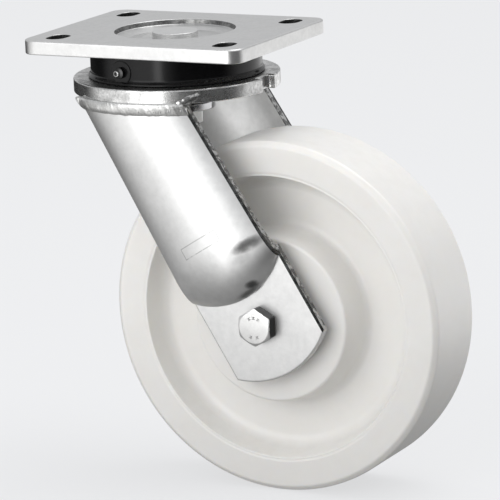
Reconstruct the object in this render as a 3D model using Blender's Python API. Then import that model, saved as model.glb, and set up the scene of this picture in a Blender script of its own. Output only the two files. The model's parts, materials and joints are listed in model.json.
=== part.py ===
"""Swivel castor with a top plate: ball-bearing swivel head, welded fork and a 200 mm wheel.

The frame's origin is the centre of the plate's top face, on the swivel axis. +Z points up out of
the plate, and the wheel trails towards +X. "left" is the side of -Y. Lengths are in metres.
"""

import math

import bmesh
import bpy
from mathutils import Matrix, Vector

MM = 0.001
GAP = 0.3 * MM
MERGE = 0.001 * MM

# Driving dimensions
OVERALL_HEIGHT = 256 * MM
WHEEL_RADIUS = 100 * MM
WHEEL_WIDTH = 50 * MM
TRAIL = 68 * MM
PLATE_LENGTH = 137 * MM
PLATE_WIDTH = 112 * MM
PLATE_THICKNESS = 8 * MM
SLOT_SPACING_X = 105 * MM
SLOT_SPACING_Y = 80 * MM
SLOT_WIDTH = 11 * MM
SLOT_LENGTH = 16 * MM
CROWN_RADIUS = 58.3 * MM
CROWN_TOP = -24.5 * MM
CROWN_THICKNESS = 8 * MM
LEG_ANGLE = math.radians(31)
LEG_SHEET = 6 * MM
HUB_LENGTH = 60 * MM
AXLE_RADIUS = 6 * MM

AXLE = Vector((TRAIL, 0, WHEEL_RADIUS - OVERALL_HEIGHT))
CROWN_BOTTOM = CROWN_TOP - CROWN_THICKNESS

# Swivel head: ball radius, pitch radius and height of the middle of each ball row
UPPER_BALL, UPPER_PITCH, UPPER_ROW, UPPER_COUNT = 4.5 * MM, 37.5 * MM, -16.3 * MM, 12
LOWER_BALL, LOWER_PITCH, LOWER_ROW, LOWER_COUNT = 3 * MM, 17.5 * MM, -37.6 * MM, 10
KINGPIN_RADIUS = 10 * MM
KINGPIN_HEAD_RADIUS = 13 * MM
DISH_RADIUS = 34 * MM
DISH_FLOOR_RADIUS = 28.5 * MM
DISH_DEPTH = 5 * MM
SEAL_INNER = 43.6 * MM
SEAL_OUTER = 48.4 * MM
NIPPLE_AZIMUTH = math.radians(-100.4)
NIPPLE_HEIGHT = -17.1 * MM
NIPPLE_TIP = 53.3 * MM
BOSS_RADIUS = 6.8 * MM
BOSS_FACE = 48.8 * MM

# Fork leg: half width, outer face and the domed end of its curved upper part
LEG_HALF_WIDTH = 31.7 * MM
LEG_TOP_HALF_WIDTH = 27.8 * MM
LEG_SHIFT = 1.2 * MM
LEG_FACE = 41 * MM
LEG_CURVE_RADIUS = 57 * MM
LEG_END = 31.2 * MM
LEG_END_RADIUS = 51.2 * MM
DOME_END = -16.6 * MM
DOME_END_RADIUS = 47.9 * MM
DOME_SLOPE = 2.25

# Wheel bearings, 20 x 47 x 14
BEARING_BORE = 10 * MM
BEARING_OUTSIDE = 23.5 * MM
BEARING_WIDTH = 14 * MM
BEARING_BALL = 3.3 * MM
BEARING_PITCH = 16.75 * MM
BEARING_COUNT = 8


def material(name, colour, roughness, metallic):
    """A plain Principled material."""
    made = bpy.data.materials.new(name)
    made.use_nodes = True
    shader = made.node_tree.nodes["Principled BSDF"]
    shader.inputs["Base Color"].default_value = (*colour, 1)
    shader.inputs["Roughness"].default_value = roughness
    shader.inputs["Metallic"].default_value = metallic
    return made


def empty(name, location):
    """A joint's guide: the moving pieces are its children."""
    guide = bpy.data.objects.new(name, None)
    guide.location = location
    bpy.context.collection.objects.link(guide)
    return guide


def add(name, bm, finish, parent=None, place=None):
    """Turn a bmesh into a smooth-shaded object with sharp creases, at its place in the world."""
    mesh = bpy.data.meshes.new(name)
    bm.to_mesh(mesh)
    bm.free()
    mesh.shade_smooth()
    mesh.set_sharp_from_angle(angle=math.radians(35))
    made = bpy.data.objects.new(name, mesh)
    bpy.context.collection.objects.link(made)
    if finish:
        made.data.materials.append(finish)
    if parent:
        made.parent = parent
        made.matrix_parent_inverse = Matrix.Translation(parent.location).inverted()
    made.matrix_basis = place or Matrix.Identity(4)
    return made


def cutter(name, bm, place=None):
    """A hidden solid for a Boolean modifier."""
    made = add(name, bm, None, place=place)
    made.hide_render = True
    made.display_type = "WIRE"
    return made


def boolean(target, tool, operation="DIFFERENCE"):
    """Cut the tool out of the target, or join it on."""
    modifier = target.modifiers.new(tool.name, "BOOLEAN")
    modifier.operation = operation
    modifier.object = tool
    modifier.solver = "EXACT"


def face_out(bm):
    """Turn every face of a closed solid outwards."""
    bmesh.ops.recalc_face_normals(bm, faces=bm.faces)
    if bm.calc_volume(signed=True) < 0:
        bmesh.ops.reverse_faces(bm, faces=bm.faces)


def turned(outline, steps):
    """Spin a closed (radius, height) outline once about Z."""
    bm = bmesh.new()
    verts = [bm.verts.new((radius, 0, height)) for radius, height in outline]
    edges = []
    for a, b in zip(verts, verts[1:] + verts[:1]):
        if a.co.x > 0 or b.co.x > 0:
            edges.append(bm.edges.new((a, b)))
    bmesh.ops.spin(
        bm, geom=verts + edges, angle=2 * math.pi, steps=steps, axis=(0, 0, 1), cent=(0, 0, 0)
    )
    bmesh.ops.remove_doubles(bm, verts=bm.verts, dist=MERGE)
    face_out(bm)
    return bm


def prism(outline, low, high):
    """Extrude a closed (x, y) outline from one height to another."""
    bm = bmesh.new()
    face = bm.faces.new([bm.verts.new((x, y, low)) for x, y in outline])
    grown = bmesh.ops.extrude_face_region(bm, geom=[face])
    top = [v for v in grown["geom"] if isinstance(v, bmesh.types.BMVert)]
    bmesh.ops.translate(bm, verts=top, vec=(0, 0, high - low))
    face_out(bm)
    return bm


def tube(inner, outer, low, high, steps=20):
    """A plain ring about Z."""
    return turned([(inner, low), (outer, low), (outer, high), (inner, high)], steps)


def arc(centre, radius, start, end, steps):
    """Points on an arc in a plane, angles in degrees."""
    angles = [math.radians(start + (end - start) * i / steps) for i in range(steps + 1)]
    return [(centre[0] + radius * math.cos(a), centre[1] + radius * math.sin(a)) for a in angles]


def rounded_rectangle(length, width, radius, steps):
    """The outline of a rectangle with round corners, centred on the origin."""
    x, y = length / 2 - radius, width / 2 - radius
    corners = [(x, y, 0), (-x, y, 90), (-x, -y, 180), (x, -y, 270)]
    return [p for cx, cy, a in corners for p in arc((cx, cy), radius, a, a + 90, steps)]


def slot_outline(width, length, steps):
    """The outline of a slot that runs along Y."""
    radius = width / 2
    offset = length / 2 - radius
    return arc((0, offset), radius, 0, 180, steps) + arc((0, -offset), radius, 180, 360, steps)


def along_y(point):
    """Lay a solid that was turned about Z along Y, with its foot at a point."""
    return Matrix.Translation(point) @ Matrix.Rotation(math.radians(-90), 4, "X")


def side(name):
    """-1 for left, +1 for right."""
    return -1 if name == "left" else 1


def thick_shell(outer, inner):
    """A closed solid from two grids of points with the same rows and columns."""
    bm = bmesh.new()
    rows, columns = len(outer), len(outer[0])
    skins = [[[bm.verts.new(p) for p in row] for row in grid] for grid in (outer, inner)]
    for skin in skins:
        for i in range(rows - 1):
            for j in range(columns - 1):
                bm.faces.new((skin[i][j], skin[i][j + 1], skin[i + 1][j + 1], skin[i + 1][j]))
    rim = [(0, j) for j in range(columns)]
    rim += [(i, columns - 1) for i in range(1, rows)]
    rim += [(rows - 1, j) for j in range(columns - 2, -1, -1)]
    rim += [(i, 0) for i in range(rows - 2, 0, -1)]
    for (i, j), (k, m) in zip(rim, rim[1:] + rim[:1]):
        bm.faces.new((skins[0][i][j], skins[0][k][m], skins[1][k][m], skins[1][i][j]))
    face_out(bm)
    return bm


def make_top_plate(finish, parent):
    """The plate has four slots, a dished centre for the kingpin's head and a boss under the dish."""
    bm = prism(rounded_rectangle(PLATE_LENGTH, PLATE_WIDTH, 9 * MM, 5), -PLATE_THICKNESS, 0)
    rims = [e for e in bm.edges if abs(e.verts[0].co.z - e.verts[1].co.z) < MERGE]
    bmesh.ops.bevel(bm, geom=rims, offset=0.8 * MM, segments=1, affect="EDGES")
    plate = add("top_plate", bm, finish, parent)
    boss_low = -DISH_DEPTH - 7 * MM
    boss = turned([(0, -7 * MM), (0, boss_low), (28 * MM, boss_low), (30 * MM, -7 * MM)], 40)
    boolean(plate, cutter("cut_plate_boss", boss), "UNION")
    above = 1 * MM
    slope = (DISH_RADIUS - DISH_FLOOR_RADIUS) / DISH_DEPTH
    dish = [
        (0, above),
        (DISH_RADIUS + slope * above, above),
        (DISH_FLOOR_RADIUS + 1 * MM, -DISH_DEPTH + 0.8 * MM),
        (DISH_FLOOR_RADIUS - 0.8 * MM, -DISH_DEPTH),
        (0, -DISH_DEPTH),
    ]
    boolean(plate, cutter("cut_plate_dish", turned(dish, 40)))
    bore = tube_cutter(KINGPIN_RADIUS + GAP, -20 * MM, -1 * MM, 24)
    boolean(plate, cutter("cut_plate_bore", bore))
    for i, x in enumerate((-SLOT_SPACING_X / 2, SLOT_SPACING_X / 2)):
        for j, y in enumerate((-SLOT_SPACING_Y / 2, SLOT_SPACING_Y / 2)):
            slot = prism(slot_outline(SLOT_WIDTH, SLOT_LENGTH, 6), -PLATE_THICKNESS - above, above)
            place = Matrix.Translation((x, y, 0))
            boolean(plate, cutter(f"cut_slot_{2 * i + j + 1}", slot, place))


def tube_cutter(radius, low, high, steps):
    """A plain cylinder about Z."""
    return turned([(0, low), (radius, low), (radius, high), (0, high)], steps)


def hexagon(across_flats, low, high, chamfer, bore):
    """A hexagon about Z with corners on X, chamfered at its high end, with or without a bore."""
    corner = across_flats / 2 / math.cos(math.radians(30))
    flat = across_flats / 2
    bm = bmesh.new()
    rings = []
    levels = [(low, corner), (high - chamfer, corner), (high, flat * 0.97)]
    for height, radius in levels:
        steps = [math.radians(60 * k) for k in range(6)]
        ring = [bm.verts.new((radius * math.cos(a), radius * math.sin(a), height)) for a in steps]
        rings.append(ring)
    if bore:
        for height in (high, low):
            steps = [math.radians(60 * k) for k in range(6)]
            inner = bore / math.cos(math.radians(30))
            rings.append(
                [bm.verts.new((inner * math.cos(a), inner * math.sin(a), height)) for a in steps]
            )
        rings.append(rings[0])
    else:
        bm.faces.new(rings[0])
        bm.faces.new(rings[-1])
    for a, b in zip(rings, rings[1:]):
        for k in range(6):
            bm.faces.new((a[k], a[(k + 1) % 6], b[(k + 1) % 6], b[k]))
    face_out(bm)
    return bm


def make_kingpin(finish, parent):
    """A pin with a flat head in the plate's dish, and its nut under the lower race."""
    head_top = -0.9 * MM
    head_low = -DISH_DEPTH + GAP
    shank_end = -54.5 * MM
    outline = [
        (0, head_top),
        (KINGPIN_HEAD_RADIUS - 0.6 * MM, head_top),
        (KINGPIN_HEAD_RADIUS, head_top - 0.6 * MM),
        (KINGPIN_HEAD_RADIUS, head_low),
        (KINGPIN_RADIUS, head_low),
        (KINGPIN_RADIUS, shank_end + 1 * MM),
        (KINGPIN_RADIUS - 1 * MM, shank_end),
        (0, shank_end),
    ]
    add("kingpin", turned(outline, 32), finish, parent)
    nut = hexagon(27 * MM, 0, 8.6 * MM, 1.4 * MM, KINGPIN_RADIUS + GAP)
    place = Matrix.Translation((0, 0, -44.8 * MM)) @ Matrix.Rotation(math.pi, 4, "X")
    add("kingpin_nut", nut, finish, parent, place)


def race(low, high, inner, outer, pitch, depth, half_gap, groove_at_top):
    """A race ring with a shallow groove for a ball row in its top or bottom face."""
    face, bottom = (high, low) if groove_at_top else (low, high)
    into = -depth if groove_at_top else depth
    outline = [
        (inner, bottom),
        (inner, face),
        (pitch - half_gap, face),
        (pitch, face + into),
        (pitch + half_gap, face),
        (outer, face),
        (outer, bottom),
    ]
    return turned(outline, 24)


def make_races(finish, plate_guide, fork_guide):
    """The four hardened rings that the two ball rows run on."""
    upper_face = UPPER_ROW + UPPER_BALL + GAP - 0.8 * MM
    bm = race(upper_face, -PLATE_THICKNESS - GAP, 32 * MM, 43 * MM, UPPER_PITCH, 0.8 * MM, 3 * MM, False)
    add("upper_race", bm, finish, plate_guide)
    face = UPPER_ROW - UPPER_BALL - GAP + 0.8 * MM
    bm = race(CROWN_TOP + GAP, face, 32 * MM, 43 * MM, UPPER_PITCH, 0.8 * MM, 3 * MM, True)
    add("crown_race_upper", bm, finish, fork_guide)
    face = LOWER_ROW + LOWER_BALL + GAP - 0.5 * MM
    bm = race(face, CROWN_BOTTOM - GAP, 12.5 * MM, 21 * MM, LOWER_PITCH, 0.5 * MM, 2 * MM, False)
    add("crown_race_lower", bm, finish, fork_guide)
    face = LOWER_ROW - LOWER_BALL - GAP + 0.5 * MM
    bm = race(-44.5 * MM, face, KINGPIN_RADIUS + GAP, 21 * MM, LOWER_PITCH, 0.5 * MM, 2 * MM, True)
    add("lower_race", bm, finish, plate_guide)


def make_ball_row(name, ball, pitch, height, count, half_width, steel, cage_finish, parent):
    """A flat cage with one round window for each ball, and the balls as separate pieces."""
    half = 0.8 * MM
    cage = add(
        f"{name}_cage",
        tube(pitch - half_width, pitch + half_width, height - half, height + half, 24),
        cage_finish,
        parent,
    )
    windows = bmesh.new()
    for k in range(count):
        turn = Matrix.Rotation(2 * math.pi * k / count, 4, "Z")
        place = turn @ Matrix.Translation((pitch, 0, height))
        bmesh.ops.create_cone(
            windows,
            cap_ends=True,
            segments=10,
            radius1=ball + GAP,
            radius2=ball + GAP,
            depth=6 * half,
            matrix=place,
        )
        bm = bmesh.new()
        bmesh.ops.create_icosphere(bm, subdivisions=2, radius=ball)
        add(f"{name}_ball_{k + 1:02d}", bm, steel, parent, place)
    boolean(cage, cutter(f"cut_{name}_windows", windows))


def make_seal_ring(finish, parent):
    """The dust band round the swivel head, with a round flat boss and a hole for the nipple."""
    top, low = -PLATE_THICKNESS - GAP, CROWN_TOP + GAP
    outline = [
        (SEAL_INNER, top),
        (SEAL_INNER, low),
        (SEAL_OUTER + 1.4 * MM, low),
        (SEAL_OUTER + 1.4 * MM, low + 1 * MM),
        (SEAL_OUTER, low + 2.5 * MM),
        (SEAL_OUTER, top),
    ]
    ring = add("seal_ring", turned(outline, 48), finish, parent)
    outward = Matrix.Rotation(NIPPLE_AZIMUTH, 4, "Z") @ Matrix.Translation((0, 0, NIPPLE_HEIGHT))
    outward = outward @ Matrix.Rotation(math.radians(90), 4, "Y")
    boss = tube_cutter(BOSS_RADIUS, SEAL_INNER + 1.5 * MM, BOSS_FACE, 20)
    boolean(ring, cutter("cut_seal_boss", boss, outward), "UNION")
    boolean(ring, cutter("cut_seal_hole", tube_cutter(2.6 * MM, 40 * MM, 52 * MM, 12), outward))
    return outward


def make_grease_nipple(finish, parent, outward):
    """A small nipple that screws into the seal ring."""
    outline = [
        (0, 44.2 * MM),
        (2.2 * MM, 44.2 * MM),
        (2.2 * MM, BOSS_FACE + GAP),
        (3.2 * MM, BOSS_FACE + GAP),
        (3.2 * MM, NIPPLE_TIP - 2.6 * MM),
        (1.4 * MM, NIPPLE_TIP - 1.9 * MM),
        (1.9 * MM, NIPPLE_TIP - 0.8 * MM),
        (1.2 * MM, NIPPLE_TIP),
        (0, NIPPLE_TIP),
    ]
    add("grease_nipple", turned(outline, 12), finish, parent, outward)


def make_crown(finish, parent):
    """The fork's round crown plate, with a notch in its rim on the trailing side."""
    edge = 0.8 * MM
    bore = KINGPIN_RADIUS + 2 * MM
    outline = [
        (bore, CROWN_TOP),
        (bore, CROWN_BOTTOM),
        (CROWN_RADIUS - edge, CROWN_BOTTOM),
        (CROWN_RADIUS, CROWN_BOTTOM + edge),
        (CROWN_RADIUS, CROWN_TOP - edge),
        (CROWN_RADIUS - edge, CROWN_TOP),
    ]
    crown = add("crown_plate", turned(outline, 48), finish, parent)
    notch = prism(rounded_rectangle(12 * MM, 15 * MM, 2 * MM, 3), CROWN_BOTTOM - MM, CROWN_TOP + MM)
    place = Matrix.Translation((CROWN_RADIUS + 1 * MM, 0, 0))
    boolean(crown, cutter("cut_crown_notch", notch, place))


def leg_point(along, across, depth, sign):
    """A place on a leg: along it from the axle (down is positive), across it, and its |y|."""
    down = Vector((math.sin(LEG_ANGLE), 0, -math.cos(LEG_ANGLE)))
    forward = Vector((math.cos(LEG_ANGLE), 0, math.sin(LEG_ANGLE)))
    point = AXLE + down * along + forward * (across + LEG_SHIFT)
    return Vector((point.x, sign * depth, point.z))


def leg_top(share, height):
    """How far along the leg a level cut is, for one share of the leg's half width."""
    along = -150 * MM
    for _ in range(4):
        across = share * leg_half_width(along)
        rise = AXLE.z + math.sin(LEG_ANGLE) * (across + LEG_SHIFT) - height
        along = rise / math.cos(LEG_ANGLE)
    return along


def leg_half_width(along):
    """The leg tapers slightly from its domed end up to the crown."""
    start, end = -28 * MM, -150 * MM
    share = min(max((along - start) / (end - start), 0), 1)
    return LEG_HALF_WIDTH + (LEG_TOP_HALF_WIDTH - LEG_HALF_WIDTH) * share


def leg_grid(thickness, columns, dome_rows, trough_rows, sign):
    """One skin of a leg: level-cut top, curved trough, dome, and flat end with a round tip.

    thickness is how far this skin lies behind the leg's outer skin.
    """
    top = CROWN_BOTTOM - GAP
    face = LEG_FACE - thickness
    grid = []
    for i in range(trough_rows + dome_rows + 4):
        row = []
        for j in range(columns + 1):
            share = 2 * j / columns - 1
            across = share * LEG_HALF_WIDTH
            bulge = math.sqrt(LEG_CURVE_RADIUS**2 - across**2) - LEG_FACE
            dome_end = DOME_END - DOME_END_RADIUS + math.sqrt(DOME_END_RADIUS**2 - across**2)
            dome_end -= 0.9 * thickness
            dome_start = dome_end - DOME_SLOPE * bulge + 0.5 * thickness
            if i < trough_rows:
                highest = leg_top(share, top)
                along = highest + (dome_start - highest) * i / trough_rows
                depth = face + bulge
            elif i <= trough_rows + dome_rows:
                angle = math.pi / 2 * (i - trough_rows) / dome_rows
                along = dome_start + (dome_end - dome_start) * math.sin(angle)
                depth = face + bulge * math.cos(angle)
            else:
                tip = LEG_END - LEG_END_RADIUS + math.sqrt(LEG_END_RADIUS**2 - across**2)
                along = dome_end + (tip - dome_end) * (i - trough_rows - dome_rows) / 3
                depth = face
            row.append(leg_point(along, share * leg_half_width(along), depth, sign))
        grid.append(row)
    return grid


def make_leg(name, finish, parent):
    """A pressed leg: a curved trough under the crown that domes down on to a flat end."""
    sign = side(name)
    outer = leg_grid(0, 12, 6, 4, sign)
    inner = leg_grid(LEG_SHEET, 12, 6, 4, sign)
    leg = add(f"fork_leg_{name}", thick_shell(outer, inner), finish, parent)
    hole = tube_cutter(AXLE_RADIUS + 0.5 * MM, -60 * MM, 60 * MM, 24)
    boolean(leg, cutter(f"cut_leg_{name}", hole, along_y(AXLE)))


def make_weld_bead(name, finish, parent):
    """A weld bead along the leg's outer top edge, up against the crown's rim."""
    sign = side(name)
    top = CROWN_BOTTOM - GAP
    stations = 18
    section_count = 6
    bm = bmesh.new()
    rings = []
    for k in range(stations + 1):
        share = 0.98 * sign * (1 - 2 * k / stations)
        along = leg_top(share, top)
        bulge = math.sqrt(LEG_CURVE_RADIUS**2 - (share * LEG_HALF_WIDTH) ** 2)
        foot = leg_point(along, share * leg_half_width(along), bulge, sign)
        lean = share * LEG_HALF_WIDTH / bulge * math.cos(LEG_ANGLE)
        out = Vector((lean, sign, 0)).normalized()
        reach = (foot.xy.length_squared - CROWN_RADIUS**2) / (2 * CROWN_RADIUS)
        rim = max(-reach / max(out.xy.dot(foot.xy.normalized()), 0.5), 0) + 4 * GAP
        size = 1 - 0.35 * abs(share) ** 6
        section = [(0.35, -6.5), (2.6, -5.2), (3.7, -1.8), (3.4, 0.8)]
        section += [(rim / MM + 0.7, 2.0), (rim / MM, 0.6)]
        ring = []
        for a, h in section:
            h = h * size * MM
            a = 0.35 * MM + (a * MM - 0.35 * MM) * (size if a <= 3.7 else 1)
            shear = -h * math.tan(LEG_ANGLE) if h < 0 else 0
            ring.append(bm.verts.new(foot + out * a + Vector((shear, 0, h))))
        rings.append(ring)
    for a, b in zip(rings, rings[1:]):
        for k in range(section_count):
            bm.faces.new((a[k], a[(k + 1) % section_count], b[(k + 1) % section_count], b[k]))
    bm.faces.new(rings[0])
    bm.faces.new(rings[-1])
    bmesh.ops.triangulate(bm, faces=bm.faces)
    face_out(bm)
    add(f"weld_bead_{name}", bm, finish, parent)


def make_axle(finish, parent):
    """The through bolt, its nut and washer, and the sleeve and tubes that it clamps."""
    head = 7.5 * MM
    bolt_start = LEG_FACE + GAP
    bolt_end = 54.5 * MM
    bm = hexagon(19 * MM, 0, head, 1 * MM, None)
    bolt = add("axle_bolt", bm, finish, parent)
    turn = Matrix.Rotation(math.radians(90), 4, "X") @ Matrix.Rotation(math.radians(90), 4, "Z")
    bolt.matrix_basis = Matrix.Translation(AXLE + Vector((0, -bolt_start, 0))) @ turn
    shank = tube_cutter(AXLE_RADIUS, -2 * MM, bolt_start + bolt_end, 20)
    place = along_y(AXLE + Vector((0, -bolt_start, 0)))
    boolean(bolt, cutter("cut_axle_shank", shank, place), "UNION")
    washer = tube(AXLE_RADIUS + GAP, 12 * MM, 0, 2.5 * MM)
    washer_start = LEG_FACE + GAP
    place = along_y(AXLE + Vector((0, washer_start, 0)))
    add("axle_washer", washer, finish, parent, place)
    nut = hexagon(19 * MM, 0, 10 * MM, 1 * MM, AXLE_RADIUS + GAP)
    nut_start = washer_start + 2.5 * MM + GAP
    place = along_y(AXLE + Vector((0, nut_start, 0))) @ Matrix.Rotation(math.radians(90), 4, "Z")
    add("axle_nut", nut, finish, parent, place)
    reach = LEG_FACE - LEG_SHEET - GAP
    place = along_y(AXLE)
    sleeve = tube(AXLE_RADIUS + GAP, BEARING_BORE, -reach, reach)
    add("axle_sleeve", sleeve, finish, parent, place)
    inner_end = HUB_LENGTH / 2 - BEARING_WIDTH - GAP
    distance = tube(BEARING_BORE + GAP, 13 * MM, -inner_end, inner_end)
    add("distance_tube", distance, finish, parent, place)
    for name in ("left", "right"):
        start = HUB_LENGTH / 2 + GAP
        spacer = tube(BEARING_BORE + GAP, 14 * MM, start, reach)
        add(f"spacer_{name}", spacer, finish, parent, facing(name))


def facing(name):
    """Place a solid made about Z along Y through the axle, so that its +Z points out on one side."""
    out = math.radians(90 if name == "left" else -90)
    return Matrix.Translation(AXLE) @ Matrix.Rotation(out, 4, "X")


def make_wheel(finish, parent):
    """A one-piece wheel: wide rim, dished web and a long hub with a bearing seat at each end."""
    half = WHEEL_WIDTH / 2
    hub = HUB_LENGTH / 2 - 1 * MM
    seat = BEARING_OUTSIDE + GAP
    shoulder = HUB_LENGTH / 2 - BEARING_WIDTH - GAP
    web = 9 * MM
    upper = [
        (20 * MM, shoulder),
        (seat, shoulder),
        (seat, hub),
        (46 * MM, hub),
        (47 * MM, hub - 1 * MM),
        (50 * MM, web + 4 * MM),
        (54 * MM, web),
        (74 * MM, web),
        (78 * MM, web + 4 * MM),
        (80.5 * MM, half - 2 * MM),
        (82.5 * MM, half),
        (WHEEL_RADIUS - 1.5 * MM, half),
        (WHEEL_RADIUS, half - 1.5 * MM),
    ]
    lower = [(radius, -height) for radius, height in reversed(upper)]
    add("wheel", turned(upper + lower, 48), finish, parent, along_y(AXLE))


def make_wheel_bearing(name, steel, cage_finish, fork_guide, wheel_guide, row_guide):
    """One ball bearing: inner ring on the sleeve, outer ring in the hub, and a caged ball row."""
    end = HUB_LENGTH / 2
    start = end - BEARING_WIDTH
    middle = (start + end) / 2
    place = facing(name)
    inner_land = 14.2 * MM
    outer_land = 19.3 * MM
    groove = 3 * MM
    inner_race = BEARING_PITCH - BEARING_BALL - GAP
    outer_race = BEARING_PITCH + BEARING_BALL + GAP
    inner = [
        (BEARING_BORE + GAP, start),
        (inner_land, start),
        (inner_land, middle - groove),
        (inner_race, middle),
        (inner_land, middle + groove),
        (inner_land, end),
        (BEARING_BORE + GAP, end),
    ]
    add(f"bearing_inner_{name}", turned(inner, 24), steel, fork_guide, place)
    outer_end = end - 1 * MM
    outer = [
        (BEARING_OUTSIDE, start),
        (outer_land, start),
        (outer_land, middle - groove),
        (outer_race, middle),
        (outer_land, middle + groove),
        (outer_land, outer_end),
        (BEARING_OUTSIDE, outer_end),
    ]
    add(f"bearing_outer_{name}", turned(outer, 24), steel, wheel_guide, place)
    shield = tube(inner_land + GAP, outer_land - GAP, outer_end - 1.2 * MM, outer_end - 0.2 * MM, 24)
    add(f"bearing_shield_{name}", shield, steel, wheel_guide, place)
    half = 3.5 * MM
    cage = add(
        f"bearing_balls_{name}",
        tube(BEARING_PITCH - 0.7 * MM, BEARING_PITCH + 0.7 * MM, middle - half, middle + half, 16),
        cage_finish,
        row_guide,
        place,
    )
    balls = bmesh.new()
    for k in range(BEARING_COUNT):
        turn = Matrix.Rotation(2 * math.pi * k / BEARING_COUNT, 4, "Z")
        at = turn @ Matrix.Translation((BEARING_PITCH, 0, middle))
        bmesh.ops.create_icosphere(balls, subdivisions=2, radius=BEARING_BALL, matrix=at)
    boolean(cage, cutter(f"cut_bearing_balls_{name}", balls, place), "UNION")


def main():
    """Build every piece, each under the guide of the body that it moves with."""
    for old in list(bpy.data.objects):
        bpy.data.objects.remove(old)
    zinc = material("zinc_plate", (0.72, 0.72, 0.71), 0.3, 1.0)
    bright = material("bright_steel", (0.66, 0.66, 0.67), 0.25, 1.0)
    hardened = material("hardened_steel", (0.5, 0.5, 0.52), 0.2, 1.0)
    band = material("black_band", (0.012, 0.012, 0.014), 0.25, 0.0)
    nylon = material("white_nylon", (0.86, 0.85, 0.82), 0.35, 0.0)
    cage = material("cage_polymer", (0.2, 0.17, 0.12), 0.5, 0.0)

    plate_guide = empty("guide_plate", (0, 0, 0))
    fork_guide = empty("guide_swivel", (0, 0, 0))
    upper_guide = empty("guide_upper_row", (0, 0, 0))
    lower_guide = empty("guide_lower_row", (0, 0, 0))
    wheel_guide = empty("guide_wheel", AXLE)
    bearing_guides = {name: empty(f"guide_balls_{name}", AXLE) for name in ("left", "right")}

    make_top_plate(zinc, plate_guide)
    make_kingpin(bright, plate_guide)
    make_races(hardened, plate_guide, fork_guide)
    make_ball_row(
        "upper", UPPER_BALL, UPPER_PITCH, UPPER_ROW, UPPER_COUNT, 5.2 * MM, hardened, cage, upper_guide
    )
    make_ball_row(
        "lower", LOWER_BALL, LOWER_PITCH, LOWER_ROW, LOWER_COUNT, 3.6 * MM, hardened, cage, lower_guide
    )
    outward = make_seal_ring(band, plate_guide)
    make_grease_nipple(bright, plate_guide, outward)
    make_crown(zinc, fork_guide)
    make_axle(bright, fork_guide)
    make_wheel(nylon, wheel_guide)
    for name in ("left", "right"):
        make_leg(name, zinc, fork_guide)
        make_weld_bead(name, zinc, fork_guide)
        make_wheel_bearing(name, hardened, cage, fork_guide, wheel_guide, bearing_guides[name])


main()
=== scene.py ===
"""Looks of a swivel castor: zinc-plated plate and welded fork, sealed swivel head, nylon wheel.

The frame's origin is the centre of the plate's top face, on the swivel axis. +Z points up out of
the plate, and the wheel trails towards +X. "left" is the side of -Y. Shapes are worked out in
millimetres and scaled to metres when a piece is finished.
"""

import json
import math

import bmesh
import bpy
from mathutils import Matrix, Vector, noise

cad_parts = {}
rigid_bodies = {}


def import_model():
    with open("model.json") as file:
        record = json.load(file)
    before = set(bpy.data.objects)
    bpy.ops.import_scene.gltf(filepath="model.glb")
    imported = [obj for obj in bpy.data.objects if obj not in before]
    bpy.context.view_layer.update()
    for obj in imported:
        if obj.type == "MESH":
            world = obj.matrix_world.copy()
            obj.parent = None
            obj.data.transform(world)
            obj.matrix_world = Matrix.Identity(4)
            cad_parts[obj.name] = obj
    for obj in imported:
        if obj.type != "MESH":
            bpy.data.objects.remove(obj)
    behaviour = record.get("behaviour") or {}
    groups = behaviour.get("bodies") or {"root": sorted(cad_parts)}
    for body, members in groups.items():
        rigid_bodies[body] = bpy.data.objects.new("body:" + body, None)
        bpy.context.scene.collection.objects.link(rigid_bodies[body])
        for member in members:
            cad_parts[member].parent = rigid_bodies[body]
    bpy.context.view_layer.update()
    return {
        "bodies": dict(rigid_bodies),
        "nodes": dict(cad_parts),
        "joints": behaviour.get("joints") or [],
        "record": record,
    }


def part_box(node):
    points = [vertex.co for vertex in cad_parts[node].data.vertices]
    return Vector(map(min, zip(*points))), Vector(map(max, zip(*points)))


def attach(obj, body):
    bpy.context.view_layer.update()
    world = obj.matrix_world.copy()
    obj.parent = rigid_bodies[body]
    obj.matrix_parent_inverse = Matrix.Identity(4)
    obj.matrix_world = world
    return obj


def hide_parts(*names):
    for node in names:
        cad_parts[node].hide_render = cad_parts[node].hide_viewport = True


MM = 0.001

# Sizes that the model's pieces share, in millimetres
AXLE = Vector((68, 0, -156))
FLOOR = -256
PLATE_LENGTH, PLATE_WIDTH, PLATE_CORNER, PLATE_LOW = 137, 112, 9, -8
SLOT_WIDTH, SLOT_LENGTH, SLOT_X, SLOT_Y = 11, 16, 52.5, 40
AXLE_FLATS, KINGPIN_FLATS, CLEAR = 19, 27, 0.3
CROWN_RADIUS, CROWN_TOP, CROWN_LOW = 58.3, -24.5, -32.5
SEAL_INNER, SEAL_OUTER = 43.6, 48.4
BOSS_RADIUS, BOSS_FACE, NIPPLE_TIP = 6.8, 48.8, 53.3
NIPPLE_AZIMUTH, NIPPLE_HEIGHT = math.radians(-100.4), -17.1
UPPER_BALL, UPPER_PITCH, UPPER_ROW, UPPER_COUNT = 4.5, 37.5, -16.3, 12
LOWER_BALL, LOWER_PITCH, LOWER_ROW, LOWER_COUNT = 3, 17.5, -37.6, 10
LEG_ANGLE, LEG_SHEET = math.radians(31), 6
LEG_HALF_WIDTH, LEG_TOP_HALF_WIDTH, LEG_SHIFT = 31.7, 27.8, 1.2
LEG_FACE, LEG_CURVE = 41, 57
LEG_END, LEG_END_RADIUS = 31.2, 51.2
DOME_END, DOME_END_RADIUS, DOME_SLOPE = -16.6, 47.9, 2.25
DOWN = Vector((math.sin(LEG_ANGLE), 0, -math.cos(LEG_ANGLE)))
FORWARD = Vector((math.cos(LEG_ANGLE), 0, math.sin(LEG_ANGLE)))
BEARING_BALL, BEARING_PITCH, BEARING_COUNT, BEARING_MIDDLE = 3.3, 16.75, 8, 23
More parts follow.
